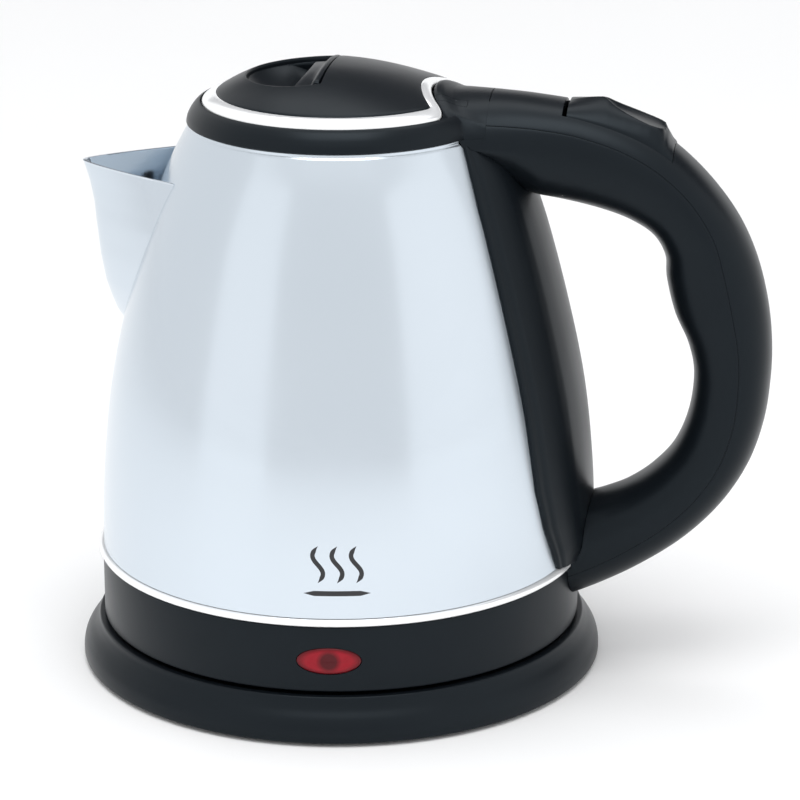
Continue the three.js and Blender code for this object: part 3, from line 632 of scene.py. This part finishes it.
def bead():
    ring = turned("bead", [
        (71.0, 34.9), (73.6, 34.9, 0.5), (74.4, 35.3, 0.6), (74.4, 36.6, 0.6), (73.6, 37.1, 0.5),
        (71.0, 37.1),
    ], CHROME, "kettle", 220, sharp=60)
    stand_for(ring, "bright_trim", "bead_ring")


def steel_body():
    """The steel shell, with a fine line pressed below the collar and the strainer holes."""
    outside = [tuple(p) for p in BODY_CURVE if p[1] < 164.6]
    for z in np.linspace(164.8, 167.6, 15):
        groove = 0.22 * math.exp(-((z - GROOVE_Z) / 0.35) ** 2)
        outside.append((float(body_radius(z)) - groove, float(z)))
    outside.append(BODY_TOP)
    inside = [(r - STEEL, z) for r, z in reversed(outside)]
    shell = turned("steel_shell", outside + inside, STEEL_SKIN, "kettle", 220, sharp=50)
    holes = []
    for z, count in ((121, 2), (131, 3), (141, 4)):
        for i in range(count):
            y = (i - (count - 1) / 2) * 8
            holes.append(bar((-40, y, z), (-70, y, z), 1.8, 20))
    stand_for(cut(shell, *holes, sharp=50), "polished_steel", "kettle_body")


def heating_floor():
    plate = turned("heating_floor", [
        (0.01, 39.6), (52, 39.6, 4), (58, 40.1, 4), (66, 39.6, 3), (70, 39.6, 1.5), (71.7, 38.6, 0.6),
        (71.7, 37.6), (70.6, 37.6), (69.6, 38.5), (0.01, 38.5),
    ], STEEL_SKIN, "kettle", sharp=50)
    stand_for(plate, "polished_steel", "heating_plate")


# By height: the angle where the spout's edge meets the body, how far out its keel is, and how blunt.
SPOUT_SPREAD = [(104, 3.5), (107, 8), (111, 12), (116, 16.3), (125, 21), (136, 25.8), (144, 28.3), (152, 31)]
SPOUT_KEEL = [
    (104, 67.0), (107, 68.7), (111, 70.3), (116, 71.9), (124, 73.4), (133, 74.4), (140, 75), (146, 76.2),
    (152, 78),
]
SPOUT_NOSE = [(104, 0.8), (112, 0.5), (130, 0.22), (152, 0.10)]
SPOUT_LOW, SPOUT_TOP = 104, 152
SPOUT_WALL = 0.75


def spout():
    """A folded beak: two flat cheeks round a soft nose, with a thin rolled lip."""
    height = SPOUT_TOP - SPOUT_LOW
    rows = [SPOUT_LOW + height * (i / 56) for i in range(57)]

    def section(z, outward):
        edge_x, edge_y = polar(body_radius(z) - 0.1, along(SPOUT_SPREAD, z))
        keel = along(SPOUT_KEEL, z) + outward * 1.3
        nose = along(SPOUT_NOSE, z)
        line = []
        for s in np.linspace(-1, 1, 61):
            reach = (math.sqrt(s * s + nose * nose) - nose) / (math.sqrt(1 + nose * nose) - nose)
            belly = 0.7 * math.sin(math.pi * abs(s)) * (z - SPOUT_LOW) / height
            x = keel + (edge_x - keel) * reach
            y = s * (edge_y + outward * 0.6) + math.copysign(belly, s) * (abs(s) > 0.02)
            line.append((-x - belly, y, z))
        return line

    outer = [section(z, 0) for z in rows]
    inner = [section(z, -SPOUT_WALL) for z in rows]
    for z, out in ((152.0, 0.25), (152.35, 0.45), (152.45, 0.2)):
        outer.append([(x, y, z) for x, y, _ in section(SPOUT_TOP, out * 0.6)])
        inner.append([(x, y, z) for x, y, _ in section(SPOUT_TOP, -SPOUT_WALL + out * 0.4)])
    beak = sheet("beak", outer, inner, STEEL_SKIN, "kettle", 50)
    stand_for(beak, "polished_steel", "spout")


def ribbon(name, path, width):
    """A thin printed stroke on the steel body; path holds (distance round, height) from its centre."""
    line = resample(path, 40)
    normal = np.gradient(line, axis=0)
    normal = np.stack([-normal[:, 1], normal[:, 0]], axis=1)
    normal /= np.linalg.norm(normal, axis=1, keepdims=True)
    taper = np.clip(np.sin(np.linspace(0, math.pi, 40)) * 2.2, 0.05, 1)[:, None]

    def layer(rise):
        grid = []
        for side in (-0.5, 0, 0.5):
            row = []
            for u, v in line + normal * side * width * taper:
                z = MARK_Z + v
                radius = body_radius(z) + rise
                a = MARK_ANGLE + u / 72
                row.append((radius * math.cos(a), radius * math.sin(a), z))
            grid.append(row)
        return grid

    mark = sheet(name, layer(0.06), layer(-0.05), INK, "kettle", 60)


def steam_mark():
    """Three rising wisps over a short bar: a plain sign for hot water."""
    for i, x in enumerate((-5.5, 0, 5.5)):
        path = [(x + 1.5 * math.sin(t * 1.0), -3.4 + t * 1.75) for t in np.linspace(0, 6.3, 30)]
        ribbon(f"mark_wisp_{i + 1}", path, 1.3)
    ribbon("mark_bar", [(-9.5, -6.6), (0, -6.6), (9.5, -6.6)], 1.5)


# ---------------- collar and hinge boss

def ring_of_collar():
    ring = turned("mouth_collar", [
        (45.2, 167.4, 0.4), (44.85, 169.2, 0.8), (43.6, 171.5, 1), (42.2, 173.1, 0.8), (40.95, 173.85, 0.4),
        (40.9, 172.5), (39.4, 172.5, 0.3), (39.4, 163.0, 0.3), (41.1, 163.0), (41.1, 171.0), (42.9, 171.0),
        (43.7, 169.0), (44.5, 167.4),
    ], BLACK, "kettle", 200)
    cut(ring, block((-42, -39), (-6, 6), (167.4, 171.4)))
    return ring


BOSS_HUMP = [(0, 0.2), (0.5, 1.0), (1.2, 1.6), (2.2, 1.75), (3.2, 1.45), (4.6, 0.75), (6, 0.2), (7.5, 0)]
BOSS_LOW_Z = 167.48
BOSS_FLOOR_Z = 172.9     # its underside above the kettle's mouth
BOSS_START_X = 28        # ahead of the whole boss


def nose_x(y):
    """Where the boss must begin at this y, to stay clear of the lid's edge."""
    return float(np.interp(abs(y), NOSE_LINE[:, 1], NOSE_LINE[:, 0]))


def lid_clearance():
    """The lid's outline on its handle side, a little outside its edge, from the middle outwards."""
    edge = lid_edge(-LID_GAP, 1200)
    half = edge[(edge[:, 0] > 15) & (edge[:, 1] >= 0)]
    return half[np.argsort(half[:, 1])]


def nose_arc(x, y):
    """Height above and below the hinge pin that the boss's round front reaches at x."""
    reach = (PIN[0] - nose_x(y)) ** 2 - (PIN[0] - x) ** 2
    return math.sqrt(max(reach, 0.0004))


def boss_top(x, y):
    """The handle's own surface run forward, plus a low hump next to the lid."""
    nose = nose_x(y)
    steep = 0.35 + 0.6 * min(max((abs(y) - 17) / 4, 0), 1)
    shoulder = float(dome_height(nose, y)) - 0.45 - steep * (x - nose)
    swell = handle_top(x, y) + along(BOSS_HUMP, x - nose) * max(0, 1 - (y / 20) ** 2)
    height = max(shoulder, swell) + max(1.2 - abs(shoulder - swell), 0) ** 2 / 4.8
    return height if x >= PIN[0] else min(height, PIN[1] + nose_arc(x, y))


def boss_bottom(x, y):
    if math.hypot(x, y) > 39.8:
        return BOSS_LOW_Z
    if x >= PIN[0]:
        return BOSS_FLOOR_Z
    return max(BOSS_FLOOR_Z, PIN[1] - nose_arc(x, y))


def boss_half_width(x):
    """Half the width at which the surface has come down to the collar's lower edge."""
    ys = np.linspace(0, 25, 80)
    heights = np.array([handle_top(x, y) for y in ys])
    return float(np.interp(-(BOSS_LOW_Z + 0.15), -heights, ys))


def hinge_boss(rows=49, columns=91):
    """The whole boss, lid's arms included, from its nose at the lid to the handle."""
    back = HANDLE_FRONT_X - 0.03
    widths = [(x, boss_half_width(x)) for x in np.linspace(BOSS_START_X, back, 40)]
    top, bottom = [], []
    for u in np.linspace(0, 1, rows) ** 1.5:
        line = []
        for v in np.linspace(-1, 1, columns):
            x = BOSS_START_X + u * (back - BOSS_START_X)
            for _ in range(6):
                y = v * along(widths, x)
                x = nose_x(y) + u * (back - nose_x(y))
            line.append((x, y))
        top.append([(x, y, boss_top(x, y)) for x, y in line])
        bottom.append([(x, y, min(boss_bottom(x, y), boss_top(x, y) - 0.03)) for x, y in line])
    return sheet("boss", top, bottom, BLACK, None, 34)


def knuckle_space(y, half, reach):
    """The space round one of the lid's arms at the hinge pin."""
    front = block((20, PIN[0]), (y - half, y + half), (165, 190))
    back = bar((PIN[0], y - half, PIN[1]), (PIN[0], y + half, PIN[1]), reach, 48)
    return cut(front, back, how="UNION")


def collar():
    ring = ring_of_collar()
    boss = cut(hinge_boss(), *[knuckle_space(y, 1.62, 3.62) for y in ARM_YS], sharp=34)
    joined = cut(ring, boss, how="UNION", sharp=34)
    cut(joined, block((HANDLE_FRONT_X - 0.24, 47), (-8.5, 8.5), (172, 190)), sharp=34)
    joined.name = "collar_moulding"
    stand_for(joined, "black_moulding", "collar")


# ---------------- lid

def lid_edge(shift, count=240):
    """The lid's outline, moved inwards by shift: a circle with a rounded bay for the hinge boss."""
    radius = RING_R - shift
    bay = NOTCH_R + (0.72 * shift if shift > 0 else shift)
    cos_meet = (radius ** 2 + NOTCH_X ** 2 - bay ** 2) / (2 * radius * NOTCH_X)
    meet = math.acos(cos_meet)
    x, y = radius * math.cos(meet), radius * math.sin(meet)
    bay_angle = math.atan2(y, NOTCH_X - x)
    outline = []
    for a in np.linspace(meet, 2 * math.pi - meet, 300):
        outline.append((radius * math.cos(a), radius * math.sin(a)))
    for a in np.linspace(-bay_angle, bay_angle, 80)[1:-1]:
        outline.append((NOTCH_X - bay * math.cos(a), bay * math.sin(a)))
    p = np.array(outline)
    p = resample(np.vstack([p, p[:1]]), 1200)[:-1]
    window = max(7, int(22 - 3.4 * shift))
    soft = sum(np.roll(p, k, axis=0) for k in range(-window, window + 1)) / (2 * window + 1)
    near = np.exp(-((np.hypot(p[:, 0] - x, np.abs(p[:, 1]) - y) / 6.5) ** 4))[:, None]
    p = p * (1 - near) + soft * near
    closed = resample(np.vstack([p, p[:1]]), count + 1)[:-1]
    start = int(np.argmin(closed[:, 0]))
    return np.roll(closed, -start, axis=0)


def on_dome(points, rise):
    """A loop of points raised by this much from the lid's outer surface."""
    height = dome_height(points[:, 0], points[:, 1]) + rise
    return [(x, y, z) for (x, y), z in zip(points, height)]


def trim_ring():
    """A bright band that follows the lid's outline, softly crowned."""
    across = [
        (0.0, -1.6), (0.0, -0.5), (0.15, -0.15), (0.5, 0.08), (1.3, 0.25), (2.2, 0.3), (3.2, 0.22),
        (3.9, 0.05), (TRIM_WIDTH, -0.15), (TRIM_WIDTH, -1.2),
    ]
    loops = [on_dome(lid_edge(shift), rise) for shift, rise in across]
    ring = rings("lid_trim", loops, CHROME, "lid", 60, caps=False)
    close_ring(ring, len(loops), len(loops[0]))
    stand_for(ring, "bright_trim", "lid_trim_ring")


def close_ring(obj, rows, columns):
    """Joins the first and last loops of a ring-shaped skin."""
    work = bmesh.new()
    work.from_mesh(obj.data)
    work.verts.ensure_lookup_table()
    last = (rows - 1) * columns
    for j in range(columns):
        k = (j + 1) % columns
        work.faces.new([work.verts[i] for i in (last + j, last + k, k, j)])
    bmesh.ops.recalc_face_normals(work, faces=work.faces)
    work.to_mesh(obj.data)
    work.free()
    obj.data.polygons.foreach_set("use_smooth", [True] * len(obj.data.polygons))


SCOOP_MIDDLE = (-12.0, 0.0)
SCOOP_BACK = -1.7


def scoop_edge(count=240):
    """Outline of the opening in the lid: most of an oval towards the spout and a straight back."""
    points = [(SCOOP_BACK, 0), (SCOOP_BACK, 19.4), (SCOOP_BACK - 0.15, 19.85)]
    for a in np.linspace(math.acos(6.4 / 18.4), math.pi, 60):
        points.append((-9.0 + 18.4 * math.cos(a), 21.3 * math.sin(a)))
    half = resample(points, 300)
    full = np.vstack([half, (half * (1, -1))[::-1][1:]])
    edge = resample(full, count + 1)[:-1]
    return np.roll(edge, -int(np.argmin(edge[:, 0])), axis=0)


def lid_panel():
    """Domed panel with the finger scoop; its rim tucks down inside the trim ring."""
    outline = lid_edge(TRIM_WIDTH + 0.12)
    shoulder = lid_edge(TRIM_WIDTH + 0.3)
    opening = scoop_edge()
    loops = [on_dome(outline, -2.4), on_dome(outline, -0.3), on_dome(shoulder, -0.05)]
    for t in np.linspace(0.03, 0.97, 22):
        loops.append(on_dome(shoulder * (1 - t) + opening * t, 0))
    loops += scoop_loops(opening)
    under = [[(x * 0.985, y * 0.985, z - 1.5) for x, y, z in loop] for loop in reversed(loops[2:])]
    panel = rings("lid_dome", under + loops, BLACK, "lid", 40)
    cut(panel, block((-7.4, -0.2), (-3.4, 3.4), (160, 181)), sharp=40)
    stand_for(panel, "black_moulding", "lid_panel")


def scoop_loops(opening):
    """Loops from the opening's edge, over its soft lip, down to the scoop's middle."""
    middle = np.array(SCOOP_MIDDLE)
    inward = middle - opening
    inward /= np.linalg.norm(inward, axis=1, keepdims=True)
    inward *= np.clip((-2.6 - opening[:, :1]) / 2, 0.1, 1)
    loops = []
    for step, rise in ((-0.3, -0.02), (0.0, -0.12), (0.2, -0.45), (0.3, -1.0), (0.35, -1.8)):
        loops.append(on_dome(opening + inward * step, rise))
    loops.append(on_dome(opening + inward * 0.36, -1.8 - flap_pocket(opening)))
    start = opening + inward * 0.35
    for t in np.linspace(0.04, 0.985, 24):
        points = start * (1 - t) + middle * t
        deep = 1.8 + 7.6 * (1 - (1 - t) ** 2.4) + flap_pocket(points)
        loops.append(on_dome(points, -deep))
    return loops


def flap_pocket(points):
    """Extra depth of the scoop below the finger flap's two ends."""
    below = np.clip((points[:, 0] + 19) / 9, 0, 1)
    aside = np.clip((np.abs(points[:, 1]) - 4) / 13, 0, 1)
    return 2.8 * below ** 2 * (3 - 2 * below) * aside ** 2 * (3 - 2 * aside)


def finger_flap():
    """The latch's finger plate: it slopes from the ridge down to its bowed front lip."""
    half = 18.9
    ends = [half - k for k in (0, 0.1, 0.4, 0.9)]
    loops = []
    for y in [-e for e in ends] + list(np.linspace(-17.5, 17.5, 29)) + ends[::-1]:
        front = -8.6 - 2.2 * (y / 19.0) ** 2
        soften = max(0, (abs(y) - 17.9) / 1.0) ** 2 * 0.5
        lip = [(0.35, 3.3), (0.05, 3.0), (0, 2.6), (0.2, 2.25), (0.7, 2.1)]
        line = [(front + x, drop) for x, drop in lip]
        for t in (0.4, 0.75, 1.0):
            line.append((front * (1 - t) - 5.2 * t, 2.1 - 0.25 * t))
        lean = 0.4 * (y / half) ** 2
        ridge = [(-4.75, 1.6), (-4.3, 0.9), (-3.85, 0.3), (-3.3, -0.08), (-2.7, -0.16), (-2.2, 0.02),
                 (-1.97, 0.5)]
        line += [(x - lean, drop) for x, drop in ridge]
        loop = [(x, y, float(dome_height(x, y)) - drop - soften) for x, drop in line]
        thick = 1.5 - 2 * soften
        loop += [(-2.3 - lean, y, loop[-1][2] - thick), (-4.6, y, loop[7][2] - thick),
                 (front + 1.6, y, loop[4][2] - 1.3), (front + 0.7, y, loop[0][2] - 0.1)]
        loops.append(loop)
    flap = rings("latch_flap", loops, BLACK, "latch", 40)
    profile = [(-6.2, 169.0), (-4.2, 169.0), (-3.6, 182.0), (-5.4, 182.0)]
    arm = slab("arm", profile, (-3, 3), 0.2, BLACK, None)
    stand_for(cut(flap, arm, how="UNION", sharp=40), "black_moulding", "latch_lever")
    x, z = LEVER_PIVOT
    rod = bar((x, -12, z), (x, 12, z), PIN_R, 24, "lever_rod", ZINC, "lid")
    stand_for(rod, "zinc_steel", "latch_lever_pin")


def lid_under():
    """The plug under the lid, with its two arms to the hinge pin."""
    cup = turned("lid_plug", [
        (0.01, 163.6), (24, 163.6), (25, 164.1), (27, 164.1), (28, 163.6), (36.8, 163.6, 0.5), (36.8, 164.5),
        (35.8, 164.5), (35.8, 167.0), (37.4, 167.0, 0.2), (37.4, 171.8, 0.3), (34.6, 171.8, 0.3),
        (34.6, 165.6), (0.01, 165.6),
    ], BLACK, "lid")
    swing = bar((PIN[0], -25, PIN[1]), (PIN[0], 25, PIN[1]), 9.2, 64)
    gate = block((-40, -30), (-10, 10), (168.1, 180))
    vent = bar((20, 0, 160), (20, 0, 168), 2)
    cut(cup, swing, gate, vent)
    profile = [
        (21, 165.2, 1), (27.5, 165.2, 1), (31.5, 168.6, 1), (36.5, 172.6, 1), (38.8, 173.8, 1),
        (39.4, 175.2, 0.6), (36.5, 175.5, 1), (31.6, 175.3, 0.6), (31.0, 172.4, 1), (27, 171.4, 1),
        (21, 171.4, 1),
    ]
    arms = []
    for y in ARM_YS:
        arms.append(slab("arm", rounded(profile), (y - 1.5, y + 1.5), 0.2, BLACK, None))
        arms.append(cut(hinge_boss(), knuckle_space(y, 1.5, 3.5), how="INTERSECT"))
    stand_for(cut(cup, *arms, how="UNION"), "black_moulding", "lid_inner_cover")
    pin = bar((PIN[0], -10.4, PIN[1]), (PIN[0], 10.4, PIN[1]), PIN_R, 24, "hinge_rod", ZINC, "kettle")
    stand_for(pin, "zinc_steel", "lid_hinge_pin")
    seal = turned("lid_gasket", [
        (36.1, 164.8), (37.6, 164.8, 0.3), (38.1, 165.2, 0.4), (38.1, 166.2, 0.4), (37.6, 166.7, 0.3),
        (36.1, 166.7),
    ], SEAL, "lid", sharp=60)
    stand_for(seal, "seal_silicone", "lid_seal")


def latch_coil():
    """The latch bar's return spring, drawn as short as it is with the latch pressed."""
    low, high = (np.array(c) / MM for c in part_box("latch_spring"))
    wire = 0.22
    middle = (low + high) / 2
    radius = (high[2] - low[2]) / 2 - wire - 0.02
    start, end = low[0] + SPRING_CUT + wire, high[0] - wire
    loops = []
    for t in np.linspace(0, 1, 150):
        a = 2 * math.pi * 6 * t
        out = np.array([0, math.cos(a), math.sin(a)])
        centre = np.array([start + (end - start) * t, middle[1], middle[2]]) + radius * out
        loop = []
        for k in range(10):
            b = 2 * math.pi * k / 10
            loop.append(tuple(centre + wire * (math.cos(b) * out + math.sin(b) * np.array([1, 0, 0]))))
        loops.append(loop)
    stand_for(rings("return_spring", loops, ZINC, "lid", 60), "zinc_steel", "latch_spring")


# ---------------- spine and handle

# Half the panel's angle by height, its thickness from middle to edge, and that thickness's share by height.
SPINE_SPREAD = [
    (37.4, 18), (45, 21), (52, 24), (65, 27), (78, 28.1), (90, 28.7), (114, 30), (137, 31), (149, 31),
    (158, 29.5), (167.3, 26.6),
]
SPINE_RISE = [
    (0, 5.2), (0.30, 5.1), (0.52, 4.8), (0.62, 4.35), (0.68, 3.9), (0.80, 3.0), (0.88, 2.45), (0.91, 2.0),
    (0.93, 1.5), (0.985, 1.25), (1.0, 0.7),
]
SPINE_FADE = [(37, 0.72), (42, 1), (160, 1), (167.3, 0.8)]


def spine():
    steps = np.concatenate([
        np.linspace(-1, -0.86, 12), np.linspace(-0.84, -0.5, 14), np.linspace(-0.45, 0.45, 15),
        np.linspace(0.5, 0.84, 14), np.linspace(0.86, 1, 12),
    ])
    heights = np.linspace(37.35, 167.3, 70)

    def surface(offset):
        grid = []
        for z in heights:
            spread = along(SPINE_SPREAD, z)
            fade = along(SPINE_FADE, z)
            row = []
            for s in steps:
                rise = along(SPINE_RISE, abs(s)) * fade
                row.append((*polar(body_radius(z) + offset(rise), s * spread), z))
            grid.append(row)
        return grid

    back = surface(lambda rise: max(0.02, rise - 1.6))
    panel = sheet("spine", surface(lambda rise: rise), back, BLACK, "kettle", 40)
    stand_for(panel, "black_moulding", "spine_panel")


# Pairs of points across the handle, outer edge and finger side, from the hinge round to the foot.
HANDLE_PAIRS = [
    ((34, 177.9), (38, 152.0)), ((40, 177.9), (44, 150.5)), ((50, 177.5), (54, 148.6)),
    ((60, 176.6), (61, 147.6)), ((72, 174.8), (69.5, 146.3)), ((86, 170.7), (79, 144.2)),
    ((98, 164.6), (87.3, 141.4)), ((109.1, 155.0), (94.2, 137.2)), ((118.5, 143.3), (97.9, 131)),
    ((124.6, 131.2), (98.5, 124)), ((128.5, 117.4), (101.2, 113.5)), ((130.2, 104), (105.4, 104.4)),
    ((130.1, 92), (107.4, 94.8)), ((128.6, 80), (106.1, 82.5)), ((124.5, 67.0), (101.9, 71.5)),
    ((117, 54.4), (95.2, 63.6)), ((106.5, 43.2), (88, 58.3)), ((94, 34), (81.5, 55.4)),
    ((82, 27.2), (76, 53.6)), ((70, 21.6), (69, 52)),
]
HANDLE_END = len(HANDLE_PAIRS) - 1
# By pair along the handle: half its width, how square it is, how much its finger side narrows, and the angle
# where its two shells meet.
HANDLE_HALF_WIDTH = [
    (0, 23.2), (1, 20.6), (2, 17.9), (3, 17.0), (4, 16.3), (6, 16), (10, 15.2), (14, 14.8), (17, 14.6),
    (19, 15.4),
]
HANDLE_SQUARENESS = [(0, 2.0), (2, 2.1), (4, 2.3), (19, 2.35)]
ROOT_TAPER = [(0, 0.75), (1, 0.65), (2, 0.3), (3, 0)]
PARTING = [(0, 60), (3, 60), (5, 62), (7, 66), (9, 74), (12, 80), (16, 76), (19, 70)]


def pair_point(side, t):
    """A point on the handle's outer edge (0) or finger side (1), at t pairs along it."""
    p = with_ends([pair[side] for pair in HANDLE_PAIRS])
    i = min(int(t), HANDLE_END - 1)
    return between(*p[i:i + 4], t - i)


def handle_section(t, angles, insets):
    """Points round the handle; angle 0 is its outer edge and 180 its finger side."""
    outside, inside = pair_point(0, t), pair_point(1, t)
    half = along(HANDLE_HALF_WIDTH, t)
    power = 2 / along(HANDLE_SQUARENESS, t)
    taper = along(ROOT_TAPER, t)
    middle = (outside + inside) / 2
    length = np.linalg.norm(outside - inside) / 2
    unit = (outside - middle) / length
    points = []
    for angle, inset in zip(angles, insets):
        c, s = math.cos(angle), math.sin(angle)
        u = (length - inset) * math.copysign(abs(c) ** power, c)
        w = (half - inset) * math.copysign(abs(s) ** power, s) * (1 + taper * min(c, 0))
        points.append((middle[0] + unit[0] * u, w, middle[1] + unit[1] * u))
    return points


TOP_STATIONS = [
    (pair_point(0, t), pair_point(1, t), along(HANDLE_HALF_WIDTH, t), along(HANDLE_SQUARENESS, t))
    for t in np.linspace(0, 8, 65)
]


def handle_top(x, y):
    """Height of the handle's upper surface, as far back as its shoulder."""
    xs, zs = [], []
    for outside, inside, half, square in TOP_STATIONS:
        middle = (outside + inside) / 2
        share = max(0.0, 1 - (abs(y) / half) ** square) ** (1 / square)
        px, pz = middle + (outside - middle) * share
        xs.append(px)
        zs.append(pz)
    return float(np.interp(x, xs, zs))


def handle_shell(name, outer_half):
    """One of the handle's two shells, with soft edges along the parting line."""
    outer, inner = [], []
    for t in np.linspace(0, HANDLE_END, 120):
        parting = math.radians(along(PARTING, t))
        gap = 0.02 / 14
        if outer_half:
            span = np.linspace(-parting + gap, parting - gap, 51)
        else:
            span = np.linspace(parting + gap, 2 * math.pi - parting - gap, 65)
        step = span[1] - span[0]
        near = np.array([0.12, 0.26]) * step
        span = np.concatenate([span[:1], span[0] + near, span[1:-1], span[-1] - near[::-1], span[-1:]])
        tuck = np.zeros(len(span))
        tuck[[0, -1]] = 0.05 if outer_half else 0.15
        tuck[[1, -2]] = 0.01 if outer_half else 0.02
        outer.append(handle_section(t, span, tuck))
        inner.append(handle_section(t, span, np.full(len(span), 2.4)))
    return sheet(name, outer, inner, BLACK, "kettle", 50)


def spine_rise(degrees, z):
    """How far the spine panel stands off the steel at this angle from the handle's side."""
    part = abs(degrees) / along(SPINE_SPREAD, z)
    if part > 1 or not 37.3 < z < 167.4:
        return 0.0
    return along(SPINE_RISE, part) * along(SPINE_FADE, z)


def envelope():
    """The kettle's outside, spine panel included, which the handle's ends are fitted to."""
    low = [(0.01, 5), (73.45, 5), (73.45, 34.8), (74.5, 34.8), (74.5, 37.25)]
    heights = list(np.linspace(37.3, 167.3, 60))
    high = [(r + 0.12, z) for r, z in COLLAR_OUTLINE] + [(0.01, 174.0)]
    points = []
    turns = list(np.linspace(-33, 33, 133)) + list(np.linspace(36, 324, 97))
    for degrees in turns:
        a = math.radians(degrees)
        line = low + [(body_radius(z) + spine_rise(degrees, z) + 0.15, z) for z in heights] + high
        points += [(r * math.cos(a), r * math.sin(a), z) for r, z in line]
    columns = len(low) + len(heights) + len(high)
    faces = grid_faces(len(turns), columns, wrap_rows=True, wrap_columns=True)
    return piece("cutter", points, faces, SPARE, None)


def handle():
    """Both shells, trimmed to the kettle's outside, with the rocker's well in the upper one."""
    top = handle_shell("handle_back", True)
    front = block((20, HANDLE_FRONT_X), (-30, 30), (150, 190))
    well = block((67.5, 100.05), (-10.42, 10.42), (150, 190))
    cut(top, envelope(), front, well, sharp=50)
    stand_for(top, "black_moulding", "handle_outer_cover")
    grip = handle_shell("handle_grip", False)
    cut(grip, envelope(), block((20, HANDLE_FRONT_X), (-30, 30), (167.45, 190)), sharp=50)
    stand_for(grip, "black_moulding", "handle_inner_grip")


ROCKER_CREST = [
    (68.9, 175.5), (69.6, 175.8), (71.7, 176.3), (74.6, 176.7), (77.5, 176.95), (79.4, 176.8), (82, 175.3),
    (84.9, 173.9), (89.4, 172.1), (93.8, 170.4), (96.4, 169.35), (97.3, 168.7), (98.0, 167.5), (98.9, 165.2),
    (99.9, 163.5),
]
# Half the width of the thumb dish, by x.
DISH = [
    (79.2, 0), (80.5, 1.4), (83, 3.2), (86, 4.7), (90, 5.8), (93, 6.1), (95.5, 5.5), (96.8, 4.0), (97.4, 0),
]


def rocker():
    """Thumb switch: a crest at the front and a narrow pointed thumb dish behind it."""
    crest = spline(ROCKER_CREST, 61)
    loops = []
    side = 10.3
    edges = np.array([side, side - 0.05, side - 0.25])
    for y in np.concatenate([-edges, np.linspace(-9.7, 9.7, 61), edges[::-1]]):
        edge = max(0, (abs(y) - 9.8) / 0.5) ** 2 * 0.35
        loop = []
        for x, z in crest:
            wide = along(DISH, x)
            skin = min(handle_top(x, y) + 0.12, z)
            if abs(y) < wide:
                height = z - 0.45 * (y / 6) ** 2 - 1.0 * (1 - (y / wide) ** 2) * min(1, wide / 3)
            else:
                t = (abs(y) - wide) / (side - wide)
                rim = z - 0.45 * (wide / 6) ** 2
                height = rim + (min(skin, rim) - rim) * t ** 1.15
            loop.append((x, y, height - edge))
        loop += [(99.9, y, handle_top(99.9, y) - 1.3), (96, y, handle_top(96, y) - 2), (91.5, y, 163.0),
                 (86, y, 164.0), (82, y, 164.0), (72, y, 168.0), (68.9, y, 169.5)]
        loops.append(loop)
    key = rings("rocker_key", loops, BLACK, "rocker", 30)
    foot = block((74.8, 77.2), (-3, 3), (161, 169.5))
    stand_for(cut(key, foot, how="UNION", sharp=30), "black_moulding", "switch_rocker")


# ---------------- pieces kept from the CAD model

def finish_kept_nodes():
    """Dresses the CAD nodes, for those that stay in sight."""
    slots = {part["node"]: part["material_slot"] for part in frame["record"]["subparts"]}
    for name, obj in frame["nodes"].items():
        obj.data.materials.clear()
        obj.data.materials.append(SLOT_MATERIALS[slots[name]])


NOSE_LINE = lid_clearance()
camera()
studio()
finish_kept_nodes()
base_skirt()
base_underside()
base_feet()
base_island()
cord_grommet()
bottom_ring()
indicator_lens()
bead()
steel_body()
heating_floor()
spout()
steam_mark()
collar()
trim_ring()
lid_panel()
finger_flap()
lid_under()
latch_coil()
spine()
handle()
rocker()
